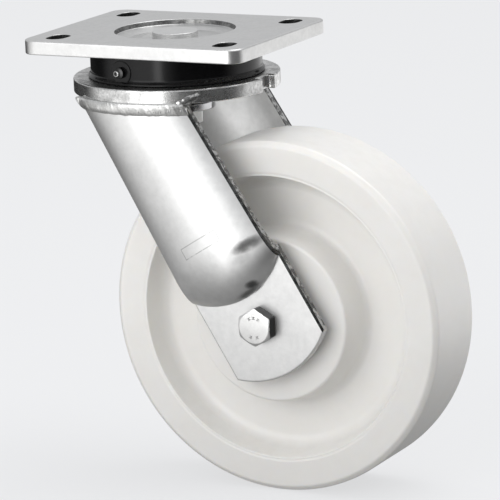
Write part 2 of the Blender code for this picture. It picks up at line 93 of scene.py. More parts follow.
TURN = 2 * math.pi
# Spots of painted shade where the press wrinkled a leg: where they are along and across it, half
# sizes and strength
WRINKLE_SHADE_SPOTS = ((-41.0, 23.5, 3.0, 8.5, 0.75), (-36.5, 16.0, 2.4, 5.0, 0.2),
          (-21.5, 10.5, 1.8, 3.4, 0.85))


# ---------------------------------------------------------------- outlines and profiles


def arc(centre, radius, start, end, steps):
    """Points on an arc, angles in degrees."""
    angles = [math.radians(start + (end - start) * i / steps) for i in range(steps + 1)]
    return [(centre[0] + radius * math.cos(a), centre[1] + radius * math.sin(a)) for a in angles]


def softened(corners, closed=True):
    """Round each (x, y, radius) corner, with a short straight margin on both sides of it."""
    made = []
    for i, (x, y, radius) in enumerate(corners):
        here = Vector((x, y))
        if radius <= 0 or (not closed and i in (0, len(corners) - 1)):
            made.append((x, y))
            continue
        before = Vector(corners[i - 1][:2]) - here
        after = Vector(corners[(i + 1) % len(corners)][:2]) - here
        half = before.angle(after) / 2
        cut = min(radius / math.tan(half), 0.44 * before.length, 0.44 * after.length)
        size = cut * math.tan(half)
        back, on = before.normalized(), after.normalized()
        centre = here + (back + on).normalized() * (size / math.sin(half))
        first, last = here + back * cut - centre, here + on * cut - centre
        sweep = first.angle_signed(last)
        steps = max(3, round(abs(sweep) / math.radians(15)))
        made.append(tuple(here + back * (cut + min(0.3, 0.05 * before.length))))
        for k in range(steps + 1):
            a = -sweep * k / steps
            turn = Vector((math.cos(a) * first.x - math.sin(a) * first.y,
                           math.sin(a) * first.x + math.cos(a) * first.y))
            made.append(tuple(centre + turn))
        made.append(tuple(here + on * (cut + min(0.3, 0.05 * after.length))))
    return made


def circle(radius, steps=192, centre=(0, 0)):
    """An outline that grows with the offset it is given."""
    return lambda grow: arc(centre, radius + grow, 0, 360 - 360 / steps, steps - 1)


def rounded_rectangle(length, width, radius):
    """A rectangle with round corners and a short straight lead on both sides of each."""

    def outline(grow):
        x, y, r = length / 2 - radius, width / 2 - radius, radius + grow
        made = []
        for cx, cy, a in ((x, y, 0), (-x, y, 90), (-x, -y, 180), (x, -y, 270)):
            corner = arc((cx, cy), r, a, a + 90, 14)
            lead = Vector((math.sin(math.radians(a)), -math.cos(math.radians(a))))
            tail = Vector((-math.cos(math.radians(a)), -math.sin(math.radians(a))))
            made.append((corner[0][0] + lead.x, corner[0][1] + lead.y))
            made += corner
            made.append((corner[-1][0] + tail.x, corner[-1][1] + tail.y))
        return made

    return outline


def slot(width, length, centre):
    """A slot along Y."""

    def outline(grow):
        r, y = width / 2 + grow, (length - width) / 2
        x = centre[0]
        return arc((x, centre[1] + y), r, 0, 180, 20) + arc((x, centre[1] - y), r, 180, 360, 20)

    return outline


def notched_circle(radius, half_width, floor, corner):
    """A disc with a square notch in its rim at +X."""

    def outline(grow):
        w, f, c, r = half_width - grow, floor + grow, corner, radius + grow
        edge = math.degrees(math.asin(w / r))
        made = arc((0, 0), r, edge, 360 - edge, 200)
        made += arc((f + c, -w + c), c, 270, 180, 6)
        made += arc((f + c, w - c), c, 180, 90, 6)
        return made

    return outline


# ---------------------------------------------------------------- solids in mesh code


def bridge(bm, a, b, material=0):
    """Quads between two closed rings of corners; a ring of one repeated corner is a pole."""
    for k in range(len(a)):
        n = (k + 1) % len(a)
        corners = list(dict.fromkeys((a[k], a[n], b[n], b[k])))
        if len(corners) > 2:
            bm.faces.new(corners).material_index = material


def polar(rings, steps, closed):
    """A solid about Z. Each ring is a (radius, height) or a function of the angle giving one."""
    bm = bmesh.new()
    loops = []
    for ring in rings:
        if not callable(ring) and ring[0] < 1e-6:
            loops.append([bm.verts.new((0, 0, ring[1]))] * steps)
            continue
        loop = []
        for k in range(steps):
            angle = TURN * k / steps
            r, z = ring(angle) if callable(ring) else ring
            loop.append(bm.verts.new((r * math.cos(angle), r * math.sin(angle), z)))
        loops.append(loop)
    for a, b in zip(loops, loops[1:] + (loops[:1] if closed else [])):
        bridge(bm, a, b)
    return bm


def turned(corners, steps=160):
    """Turn a profile with softened corners: closed when it stays off the axis."""
    closed = corners[0][0] > 1e-6
    return polar(softened(corners, closed), steps, closed)


def tube(inner, outer, low, high, edge=0.4, steps=128):
    corners = [(inner, low), (outer, low), (outer, high), (inner, high)]
    return turned([(r, z, edge) for r, z in corners], steps)


def walled_plate(walls, punched=()):
    """A flat solid: each wall is an outline with (growth, height) rows from its top to its low
    face. The first wall is the outside, where growth is outwards from the plate's middle. Walls
    listed as punched take the second finish."""
    bm = bmesh.new()
    edges = ([], [])
    for i, (outline, rows) in enumerate(walls):
        rings = [[bm.verts.new((x, y, z)) for x, y in outline(grow)] for grow, z in rows]
        for k, (a, b) in enumerate(zip(rings, rings[1:])):
            bridge(bm, a, b, int(i in punched and k > 3))
        for ring, found in ((rings[0], edges[0]), (rings[-1], edges[1])):
            for a, b in zip(ring, ring[1:] + ring[:1]):
                found.append(bm.edges.get((a, b)))
    for found in edges:
        bmesh.ops.triangle_fill(bm, use_beauty=True, use_dissolve=False, edges=found)
    return bm


def rim(top, low, soft_top, soft_low, out=1):
    """The rows of a plain wall with round edges; out is -1 for a hole."""
    shape = softened([(-3, top, 0), (0, top, soft_top), (0, low, soft_low), (-3, low, 0)], False)
    return [(out * grow, z) for grow, z in shape[1:-1]]


def hexagonal(flats, low, high, bore=0, cone_low=False, collar=None):
    """A hexagon about Z with its corners on X, coned at its high end as a bar-turned head is."""
    flat, face = flats / 2, 0.47 * flats

    def reach(angle):
        turn = angle % (math.pi / 3) - math.pi / 6
        return min(flat / math.cos(turn), flat / math.cos(math.pi / 6) - 0.3)

    def cone(z, way, extra=0.0):
        slope = math.tan(math.radians(27))
        return lambda a: (reach(a), z - way * (max(reach(a) - face, 0) * slope + extra))

    rings = [(face - 0.25, high), (face, high - 0.03), cone(high, 1, 0.06), cone(high, 1, 0.5)]
    if cone_low:
        rings += [cone(low, -1, 0.5), cone(low, -1, 0.06), (face, low + 0.03), (face - 0.25, low)]
    else:
        rings += [lambda a: (reach(a), low + 0.5), lambda a: (reach(a), low + 0.05),
                  lambda a: (reach(a) - 0.15, low)]
    if collar:
        radius, top = collar
        rings = softened([(bore + 0.3, top, 0.5), (radius, top, 1.2), (radius, high, 0.3)], True)[
            :-1
        ] + [(radius + 0.05, high)] + rings
    if bore:
        inner = [(bore + 0.6, low), (bore, low + 0.6), (bore, high - 0.6), (bore + 0.6, high)]
        if collar:
            inner = inner[:2]
        return polar(rings + inner, 144, True)
    return polar([(0, high)] + rings + [(0, low)], 144, False)


def joined(*parts):
    """Several closed solids as one mesh."""
    whole = bmesh.new()
    for bm in parts:
        held = bpy.data.meshes.new("held")
        bm.to_mesh(held)
        bm.free()
        whole.from_mesh(held)
        bpy.data.meshes.remove(held)
    return whole


def placed(bm, matrix):
    bmesh.ops.transform(bm, matrix=matrix, verts=bm.verts)
    return bm


def along_axle(name=None):
    """Lay a solid made about Z along the axle, with +Z out on the named side."""
    out = math.radians(90 if name == "left" else -90)
    return Matrix.Translation(AXLE) @ Matrix.Rotation(out, 4, "X")


def side(name):
    return -1 if name == "left" else 1


# ---------------------------------------------------------------- finished pieces


def finish_mesh(mesh, crease):
    mesh.shade_smooth()
    mesh.set_sharp_from_angle(angle=math.radians(crease))


def piece(name, bm, finishes, body, nodes=(), crease=32):
    """Close off a mesh in millimetres as a piece that rides on a body."""
    bmesh.ops.recalc_face_normals(bm, faces=bm.faces)
    if bm.calc_volume(signed=True) < 0:
        bmesh.ops.reverse_faces(bm, faces=bm.faces)
    bmesh.ops.scale(bm, vec=(MM, MM, MM), verts=bm.verts)
    mesh = bpy.data.meshes.new(name)
    bm.to_mesh(mesh)
    bm.free()
    finish_mesh(mesh, crease)
    return settled(name, mesh, finishes, body, nodes)


def settled(name, mesh, finishes, body, nodes=()):
    made = bpy.data.objects.new(name, mesh)
    bpy.context.collection.objects.link(made)
    if len(mesh.materials):
        mesh.materials.clear()
    for finish in finishes if isinstance(finishes, (list, tuple)) else [finishes]:
        mesh.materials.append(finish)
    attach(made, body)
    if nodes:
        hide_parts(*nodes)
    return made


# ---------------------------------------------------------------- node wiring


def plug(tree, socket, value):
    if isinstance(value, bpy.types.Node):
        value = value.outputs[0]
    if isinstance(value, bpy.types.NodeSocket):
        tree.links.new(value, socket)
    else:
        socket.default_value = value


def wire(tree, kind, *ordered, settings=None, **named):
    """Add a node with its settings, and plug or set its inputs in order or by name."""
    made = tree.nodes.new(kind)
    for key, value in (settings or {}).items():
        setattr(made, key, value)
    for i, value in enumerate(ordered):
        plug(tree, made.inputs[i], value)
    for key, value in named.items():
        plug(tree, made.inputs[key.replace("_", " ")], value)
    return made


def maths(tree, operation, *values):
    return wire(tree, "ShaderNodeMath", *values, settings={"operation": operation}).outputs[0]


def ranged(tree, value, low, high, to_low, to_high, smooth=False):
    kind = "SMOOTHSTEP" if smooth else "LINEAR"
    return wire(
        tree, "ShaderNodeMapRange", value, low, high, to_low, to_high,
        settings={"interpolation_type": kind},
    ).outputs[0]


def mixed(tree, factor, a, b, blend="MIX"):
    """Mix two colours."""
    made = tree.nodes.new("ShaderNodeMix")
    made.data_type, made.blend_type = "RGBA", blend
    for index, value in ((0, factor), (6, a), (7, b)):
        if isinstance(value, tuple):
            value = (*value, 1)[:4]
        plug(tree, made.inputs[index], value)
    return made.outputs[2]


def new_group(name, kind, inputs, outputs):
    """A node group with named sockets; returns the tree, its inputs and its output node."""
    tree = bpy.data.node_groups.new(name, kind)
    for way, sockets in (("INPUT", inputs), ("OUTPUT", outputs)):
        for label, socket_type, *default in sockets:
            made = tree.interface.new_socket(label, in_out=way, socket_type=socket_type)
            if default:
                made.default_value = default[0]
    return tree, tree.nodes.new("NodeGroupInput"), tree.nodes.new("NodeGroupOutput")


FLOAT, GEOMETRY = "NodeSocketFloat", "NodeSocketGeometry"


# ---------------------------------------------------------------- shared surface effects


def make_grain():
    """Fine even texture. Scale is how many grains to a metre."""
    tree, given, out = new_group(
        "surface_grain", "ShaderNodeTree",
        [("Scale", FLOAT, 1500.0), ("Roughness", FLOAT, 0.6)], [("Value", FLOAT)],
    )
    place = wire(tree, "ShaderNodeTexCoord").outputs["Object"]
    fine = wire(tree, "ShaderNodeTexNoise", Vector=place, Scale=given.outputs["Scale"], Detail=5.0,
                Roughness=given.outputs["Roughness"])
    plug(tree, out.inputs[0], fine.outputs[0])
    return tree


def make_mottle():
    """Cloudy patches, as in passivated zinc. Contrast sharpens them."""
    tree, given, out = new_group(
        "plating_mottle", "ShaderNodeTree",
        [("Scale", FLOAT, 90.0), ("Contrast", FLOAT, 0.5), ("Stretch", FLOAT, 1.0)],
        [("Mask", FLOAT), ("Fine", FLOAT)],
    )
    place = wire(tree, "ShaderNodeTexCoord").outputs["Object"]
    wide = given.outputs["Stretch"]
    stretch = wire(tree, "ShaderNodeCombineXYZ", wide, wide, 1.0)
    place = wire(tree, "ShaderNodeVectorMath", place, stretch, settings={"operation": "MULTIPLY"})
    broad = wire(tree, "ShaderNodeTexNoise", Vector=place.outputs[0], Scale=given.outputs["Scale"],
                 Detail=4.0, Roughness=0.55, Distortion=0.6)
    scale = maths(tree, "MULTIPLY", given.outputs["Scale"], 7.0)
    fine = wire(tree, "ShaderNodeTexNoise", Vector=place.outputs[0], Scale=scale, Detail=3.0,
                Roughness=0.6)
    both = maths(tree, "ADD", maths(tree, "MULTIPLY", broad.outputs[0], 0.7),
                 maths(tree, "MULTIPLY", fine.outputs[0], 0.3))
    low = maths(tree, "ADD", maths(tree, "MULTIPLY", given.outputs["Contrast"], 0.42), 0.04)
    mask = ranged(tree, both, low, maths(tree, "SUBTRACT", 1.0, low), 0.0, 1.0, True)
    plug(tree, out.inputs[0], mask)
    plug(tree, out.inputs[1], fine.outputs[0])
    return tree


def make_edge_wear():
    """How close the surface is to an outer edge, broken up unevenly."""
    tree, given, out = new_group(
        "edge_wear", "ShaderNodeTree",
        [("Radius", FLOAT, 0.0009), ("Breakup", FLOAT, 500.0), ("Amount", FLOAT, 1.0)],
        [("Mask", FLOAT)],
    )
    soft = wire(tree, "ShaderNodeBevel", Radius=given.outputs["Radius"], settings={"samples": 4})
    true = wire(tree, "ShaderNodeNewGeometry")
    near = wire(tree, "ShaderNodeVectorMath", soft.outputs[0], true.outputs["Normal"],
                settings={"operation": "DOT_PRODUCT"}).outputs["Value"]
    edge = ranged(tree, near, 0.995, 0.85, 0.0, 1.0, True)
    place = wire(tree, "ShaderNodeTexCoord").outputs["Object"]
    rough = wire(tree, "ShaderNodeTexNoise", Vector=place, Scale=given.outputs["Breakup"],
                 Detail=3.0)
    broken = ranged(tree, rough.outputs[0], 0.35, 0.65, 0.25, 1.0)
    mask = maths(tree, "MULTIPLY", maths(tree, "MULTIPLY", edge, broken), given.outputs["Amount"])
    plug(tree, out.inputs[0], mask)
    return tree


def make_scratches():
    """Sparse fine handling scratches in two directions."""
    tree, given, out = new_group(
        "fine_scratches", "ShaderNodeTree",
        [("Scale", FLOAT, 60.0), ("Amount", FLOAT, 1.0)], [("Mask", FLOAT)],
    )
    place = wire(tree, "ShaderNodeTexCoord").outputs["Object"]
    masks = []
    for angles, stretch in (((0.4, 0.2, 0.9), (1, 14, 14)), ((1.1, -0.5, -0.6), (18, 1, 18))):
        turn = wire(tree, "ShaderNodeMapping", Vector=place, Rotation=angles, Scale=stretch)
        lines = wire(tree, "ShaderNodeTexNoise", Vector=turn.outputs[0],
                     Scale=given.outputs["Scale"], Detail=2.0, Roughness=0.7, Distortion=0.15)
        masks.append(ranged(tree, lines.outputs[0], 0.68, 0.76, 0.0, 1.0))
    both = maths(tree, "MULTIPLY", maths(tree, "MAXIMUM", *masks), given.outputs["Amount"])
    plug(tree, out.inputs[0], both)
    return tree


def make_dust():
    """Dust that settles where the surface looks up, thicker in patches."""
    tree, given, out = new_group(
        "settled_dust", "ShaderNodeTree",
        [("Amount", FLOAT, 0.5), ("Scale", FLOAT, 120.0)], [("Mask", FLOAT)],
    )
    normal = wire(tree, "ShaderNodeNewGeometry").outputs["Normal"]
    up = wire(tree, "ShaderNodeSeparateXYZ", normal).outputs["Z"]
    up = ranged(tree, up, 0.2, 0.95, 0.0, 1.0, True)
    place = wire(tree, "ShaderNodeTexCoord").outputs["Object"]
    patch = wire(tree, "ShaderNodeTexNoise", Vector=place, Scale=given.outputs["Scale"], Detail=6.0,
                 Roughness=0.7)
    patch = ranged(tree, patch.outputs[0], 0.42, 0.75, 0.0, 1.0)
    mask = maths(tree, "MULTIPLY", maths(tree, "MULTIPLY", up, patch), given.outputs["Amount"])
    plug(tree, out.inputs[0], mask)
    return tree


def make_stamped_frame():
    """Marks in a leg's own along and across: a thin blank rectangle pressed across the left leg,
    and dark spots of painted shade at the wrinkles that the press leaves on both."""
    tree, given, out = new_group(
        "stamped_frame", "ShaderNodeTree",
        [("Along", FLOAT, -0.054), ("Across", FLOAT, 0.0), ("Half Length", FLOAT, 0.0125),
         ("Half Width", FLOAT, 0.0032), ("Line", FLOAT, 0.0004)],
        [("Mask", FLOAT), ("Smear", FLOAT)],
    )
    place = wire(tree, "ShaderNodeTexCoord").outputs["Object"]
    parts, plain = [], []
    for axis, middle in ((DOWN, "Along"), (FORWARD, "Across")):
        start = AXLE * MM + FORWARD * (LEG_SHIFT * MM)
        from_axle = wire(tree, "ShaderNodeVectorMath", place, tuple(start),
                         settings={"operation": "SUBTRACT"})
        value = wire(tree, "ShaderNodeVectorMath", from_axle.outputs[0], tuple(axis),
                     settings={"operation": "DOT_PRODUCT"}).outputs["Value"]
        plain.append(value)
        parts.append(maths(tree, "ABSOLUTE", maths(tree, "SUBTRACT", value, given.outputs[middle])))
    away_long = maths(tree, "SUBTRACT", parts[1], given.outputs["Half Length"])
    away_wide = maths(tree, "SUBTRACT", parts[0], given.outputs["Half Width"])
    away = maths(tree, "ABSOLUTE", maths(tree, "MAXIMUM", away_long, away_wide))
    line = ranged(tree, away, maths(tree, "MULTIPLY", given.outputs["Line"], 0.4),
                  given.outputs["Line"], 1.0, 0.0, True)
    left = wire(tree, "ShaderNodeSeparateXYZ", place).outputs["Y"]
    line = maths(tree, "MULTIPLY", line, maths(tree, "LESS_THAN", left, -0.045))
    wear = wire(tree, "ShaderNodeTexNoise", Vector=place, Scale=350.0, Detail=2.0)
    line = maths(tree, "MULTIPLY", line, ranged(tree, wear.outputs[0], 0.38, 0.5, 0.35, 1.0))
    plug(tree, out.inputs[0], line)
    # Painted shade: dark spots where the press has wrinkled the sheet
    wrinkle_shade = 0.0
    ragged = wire(tree, "ShaderNodeTexNoise", Vector=place, Scale=260.0, Detail=4.0).outputs[0]
    for along, across, long, wide, depth in WRINKLE_SHADE_SPOTS:
        shares = []
        for value, middle, size in ((plain[0], along, long), (plain[1], across, wide)):
            share = maths(tree, "DIVIDE", maths(tree, "SUBTRACT", value, middle * MM), size * MM)
            shares.append(maths(tree, "MULTIPLY", share, share))
        away = maths(tree, "ADD", maths(tree, "ADD", shares[0], shares[1]),
                     ranged(tree, ragged, 0.3, 0.7, -0.35, 0.35))
        spot = ranged(tree, away, -0.2, 2.1, depth, 0.0, True)
        wrinkle_shade = maths(tree, "MAXIMUM", spot, wrinkle_shade)
    plug(tree, out.inputs[1], wrinkle_shade)
    return tree


# ---------------------------------------------------------------- materials


class Finish:
    """A material with its Principled shader and the shared effects it has placed."""

    def __init__(self, name, roughness=0.4, metallic=0.0):
        self.material = bpy.data.materials.new(name)
        self.material.use_nodes = True
        self.tree = self.material.node_tree
        self.shader = self.tree.nodes["Principled BSDF"]
        self.set(Roughness=roughness, Metallic=metallic)

    def set(self, **values):
        for key, value in values.items():
            plug(self.tree, self.shader.inputs[key.replace("_", " ")], value)

    def effects(self, group, **values):
        """Place a shared effect and give all that it puts out."""
        made = self.tree.nodes.new("ShaderNodeGroup")
        made.node_tree = EFFECTS[group]
        for key, value in values.items():
            plug(self.tree, made.inputs[key.replace("_", " ")], value)
        return made.outputs

    def effect(self, group, **values):
        return self.effects(group, **values)[0]

    def bump(self, *layers):
        """Stack bumps: each layer is (height, strength, distance in metres)."""
        normal = None
        for height, strength, distance in layers:
            made = wire(self.tree, "ShaderNodeBump", Height=height, Strength=strength,
                        Distance=distance)
            if normal:
                plug(self.tree, made.inputs["Normal"], normal)
            normal = made.outputs[0]
        plug(self.tree, self.shader.inputs["Normal"], normal)


def zinc_finish(name, bright, dark, smooth, rough, mottle_scale=70.0, contrast=0.45,
                grain_depth=0.00004, frame=False, wear_share=0.55, dusting=0.22):
    """Zinc-plated rolled steel: cloudy plating, satin grain, bright worn edges, light dust."""
    made = Finish(name, metallic=1.0)
    tree = made.tree
    cloud, speck = made.effects("mottle", Scale=mottle_scale, Contrast=contrast)
    grain = made.effect("grain", Scale=1900.0)
    wear = made.effect("wear", Radius=0.0008)
    scratch = made.effect("scratches", Scale=55.0, Amount=0.5)
    dust = made.effect("dust", Amount=dusting)
    colour = mixed(tree, cloud, dark, bright)
    colour = mixed(tree, ranged(tree, speck, 0.35, 0.7, 0.0, 0.25), colour,
                   tuple(min(c * 1.12, 1) for c in bright))
    colour = mixed(tree, maths(tree, "MULTIPLY", wear, wear_share), colour, (0.9, 0.9, 0.89))
    colour = mixed(tree, dust, colour, (0.62, 0.6, 0.57))
    amount = ranged(tree, cloud, 0.0, 1.0, rough, smooth)
    amount = maths(tree, "SUBTRACT", amount, maths(tree, "MULTIPLY", wear, 0.1))
    amount = maths(tree, "SUBTRACT", amount, maths(tree, "MULTIPLY", scratch, 0.08))
    amount = maths(tree, "ADD", amount, maths(tree, "MULTIPLY", dust, 0.3))
    layers = [(grain, 0.35, grain_depth), (speck, 0.25, 0.00012), (scratch, -0.2, 0.00003)]
    if frame:
        line, wrinkle_shade = made.effects("frame", Along=-0.0541, Across=-0.0008)
        colour = mixed(tree, maths(tree, "MULTIPLY", line, 0.5), colour, (0.2, 0.2, 0.2))
        # Dark painted shade at the press wrinkles
        colour = mixed(tree, wrinkle_shade, colour, (0.05, 0.05, 0.05))
        layers.append((line, -0.8, 0.0004))
    made.set(Base_Color=colour, Roughness=amount)
    made.bump(*layers)
    return made.material


def steel_finish(name, colour, roughness, wear_amount=0.6):
    """Bare or bright-plated machined steel with fine tool marks."""
    made = Finish(name, metallic=1.0)
    tree = made.tree
    cloud = made.effect("mottle", Scale=160.0, Contrast=0.3)
    grain = made.effect("grain", Scale=2600.0)
    wear = made.effect("wear", Radius=0.0005, Breakup=900.0, Amount=wear_amount)
    scratch = made.effect("scratches", Scale=110.0, Amount=0.6)
    darker = tuple(c * 0.8 for c in colour)
    tint = mixed(tree, cloud, darker, colour)
    tint = mixed(tree, wear, tint, (0.92, 0.92, 0.91))
    amount = ranged(tree, cloud, 0.0, 1.0, roughness + 0.08, roughness - 0.03)
    amount = maths(tree, "ADD", amount, maths(tree, "MULTIPLY", scratch, 0.08))
    made.set(Base_Color=tint, Roughness=amount)
    made.bump((grain, 0.15, 0.00002), (scratch, -0.15, 0.00002))
    return made.material


def band_finish():
    """Gloss black band: deep black with a faint orange peel and a little haze."""
    made = Finish("black_band_gloss")
    tree = made.tree
    haze = made.effect("mottle", Scale=60.0, Contrast=0.4, Stretch=1.6)
    grain = made.effect("grain", Scale=900.0)
    dust = made.effect("dust", Amount=0.35, Scale=200.0)
    wear = made.effect("wear", Radius=0.0006, Amount=0.5)
    tint = mixed(tree, haze, (0.003, 0.003, 0.0033), (0.007, 0.007, 0.0075))
    tint = mixed(tree, dust, tint, (0.07, 0.068, 0.065))
    tint = mixed(tree, wear, tint, (0.05, 0.05, 0.05))
    rough = ranged(tree, haze, 0.0, 1.0, 0.2, 0.12)
    rough = maths(tree, "ADD", rough, maths(tree, "MULTIPLY", dust, 0.4))
    made.set(Base_Color=tint, Roughness=rough)
    made.set(Specular_IOR_Level=0.24)
    made.bump((grain, 0.12, 0.0001))
    return made.material


def nylon_finish():
    """White cast nylon: faint clouding, a fine moulded skin, soft gloss and a little depth."""
    made = Finish("white_nylon_cast")
    tree = made.tree
    cloud = made.effect("mottle", Scale=22.0, Contrast=0.35)
    grain = made.effect("grain", Scale=1300.0)
    scratch = made.effect("scratches", Scale=40.0, Amount=0.5)
    wear = made.effect("wear", Radius=0.0012, Breakup=260.0, Amount=0.5)
    dust = made.effect("dust", Amount=0.15)
    tint = mixed(tree, cloud, (0.86, 0.843, 0.81), (0.9, 0.888, 0.862))
    tint = mixed(tree, wear, tint, (0.9, 0.895, 0.88))
    tint = mixed(tree, dust, tint, (0.6, 0.58, 0.54))
    rough = ranged(tree, cloud, 0.0, 1.0, 0.36, 0.28)
    rough = maths(tree, "ADD", rough, maths(tree, "MULTIPLY", scratch, 0.12))
    made.set(Base_Color=tint, Roughness=rough, Subsurface_Weight=0.25,
             Subsurface_Radius=(1.0, 0.85, 0.65), Subsurface_Scale=0.004, IOR=1.53)
    made.bump((grain, 0.15, 0.00005), (scratch, -0.15, 0.00004))
    return made.material


def polymer_finish(name, low, high, roughness):
    """Plain moulded plastic for cages and lock-nut collars."""
    made = Finish(name)
    tree = made.tree
    cloud = made.effect("mottle", Scale=150.0, Contrast=0.3)
    grain = made.effect("grain", Scale=2200.0)
    made.set(Base_Color=mixed(tree, cloud, low, high),
             Roughness=ranged(tree, cloud, 0.0, 1.0, roughness + 0.08, roughness))
    made.bump((grain, 0.2, 0.00005))
    return made.material


# ---------------------------------------------------------------- geometry-node makers


def grown_mesh(name, base, tree, values):
    """Run a geometry tree on a mesh and keep the result as a plain mesh."""
    carrier = bpy.data.objects.new(name, base)
    bpy.context.collection.objects.link(carrier)
    modifier = carrier.modifiers.new("grow", "NODES")
    modifier.node_group = tree
    for item in tree.interface.items_tree:
        if item.in_out == "INPUT" and item.name in values:
            modifier[item.identifier] = values[item.name]
    bpy.context.view_layer.update()
    made = bpy.data.meshes.new_from_object(
        carrier.evaluated_get(bpy.context.evaluated_depsgraph_get())
    )
    carrier.modifiers.clear()
    bpy.data.objects.remove(carrier)
    bpy.data.meshes.remove(base)
    made.name = name
    return made


def tree_end(tree, geometry, out, given, smooth=True):
    real = wire(tree, "GeometryNodeRealizeInstances", geometry)
    if smooth:
        real = wire(tree, "GeometryNodeSetShadeSmooth", real)
    last = wire(tree, "GeometryNodeSetMaterial", real, Material=given.outputs["Material"])
    plug(tree, out.inputs[0], last)


def make_ball_row_tree():
    """Balls spaced evenly on a circle about Z."""
    tree, given, out = new_group(
        "ball_row", "GeometryNodeTree",
        [("Geometry", GEOMETRY), ("Balls", "NodeSocketInt", 12), ("Pitch Radius", FLOAT, 0.0375),
         ("Ball Radius", FLOAT, 0.0045), ("Height", FLOAT, 0.0),
         ("Material", "NodeSocketMaterial")],
        [("Geometry", GEOMETRY)],
    )
    ring = wire(tree, "GeometryNodeMeshCircle", Vertices=given.outputs["Balls"],
                Radius=given.outputs["Pitch Radius"])
    lift = wire(tree, "ShaderNodeCombineXYZ", 0.0, 0.0, given.outputs["Height"])
    ring = wire(tree, "GeometryNodeTransform", ring, Translation=lift)
    ball = wire(tree, "GeometryNodeMeshUVSphere", Segments=32, Rings=20,
                Radius=given.outputs["Ball Radius"])
    row = wire(tree, "GeometryNodeInstanceOnPoints", Points=ring, Instance=ball)
    tree_end(tree, row, out, given)
    return tree


def make_thread_tree():
    """A helical ridge about Z for a bolt's end."""
    tree, given, out = new_group(
        "thread_ridge", "GeometryNodeTree",
        [("Geometry", GEOMETRY), ("Turns", FLOAT, 7.0), ("Radius", FLOAT, 0.0055),
         ("Length", FLOAT, 0.01), ("Start", FLOAT, 0.0), ("Ridge", FLOAT, 0.0009),
         ("Material", "NodeSocketMaterial")],
        [("Geometry", GEOMETRY)],
    )
    radius = given.outputs["Radius"]
    helix = wire(tree, "GeometryNodeCurveSpiral", Resolution=48, Rotations=given.outputs["Turns"],
                 Start_Radius=radius, End_Radius=radius, Height=given.outputs["Length"])
    profile = wire(tree, "GeometryNodeCurvePrimitiveCircle", Resolution=6,
                   Radius=given.outputs["Ridge"])
    lift = wire(tree, "ShaderNodeCombineXYZ", 0.0, 0.0, given.outputs["Start"])
    helix = wire(tree, "GeometryNodeTransform", helix, Translation=lift)
    ridge = wire(tree, "GeometryNodeCurveToMesh", helix, profile, Fill_Caps=True)
    tree_end(tree, ridge, out, given)
    return tree


def make_lathe_tree():
    """Turn the profile mesh, given in X and Z, about Z in even steps."""
    tree, given, out = new_group(
        "turned_body", "GeometryNodeTree",
        [("Geometry", GEOMETRY), ("Steps", "NodeSocketInt", 256),
         ("Material", "NodeSocketMaterial")],
        [("Geometry", GEOMETRY)],
    )
    profile = given.outputs["Geometry"]
    size = wire(tree, "GeometryNodeAttributeDomainSize", profile).outputs["Point Count"]
    rows = wire(tree, "ShaderNodeMath", size, 1.0, settings={"operation": "ADD"})
    columns = wire(tree, "ShaderNodeMath", given.outputs["Steps"], 1.0,
                   settings={"operation": "ADD"})
    grid = wire(tree, "GeometryNodeMeshGrid", Vertices_X=columns, Vertices_Y=rows)
    index = wire(tree, "GeometryNodeInputIndex")
    column = maths(tree, "FLOOR", maths(tree, "DIVIDE", maths(tree, "ADD", index, 0.5), rows))
    row = maths(tree, "SUBTRACT", index, maths(tree, "MULTIPLY", column, rows))
    row = maths(tree, "MODULO", maths(tree, "ADD", row, 0.25), size)
    place = wire(tree, "GeometryNodeInputPosition")
    found = tree.nodes.new("GeometryNodeSampleIndex")
    found.data_type = "FLOAT_VECTOR"
    plug(tree, found.inputs["Geometry"], profile)
    plug(tree, found.inputs["Value"], place)
    plug(tree, found.inputs["Index"], maths(tree, "FLOOR", row))
    split = wire(tree, "ShaderNodeSeparateXYZ", found.outputs[0])
    angle = maths(tree, "MULTIPLY", maths(tree, "DIVIDE", column, given.outputs["Steps"]), TURN)
    x = maths(tree, "MULTIPLY", split.outputs["X"], maths(tree, "COSINE", angle))
    y = maths(tree, "MULTIPLY", split.outputs["X"], maths(tree, "SINE", angle))
    spun = wire(tree, "GeometryNodeSetPosition", grid.outputs[0],
                Position=wire(tree, "ShaderNodeCombineXYZ", x, y, split.outputs["Z"]))
    merged = wire(tree, "GeometryNodeMergeByDistance", spun, Distance=0.000004)
    tree_end(tree, merged, out, given)
    return tree


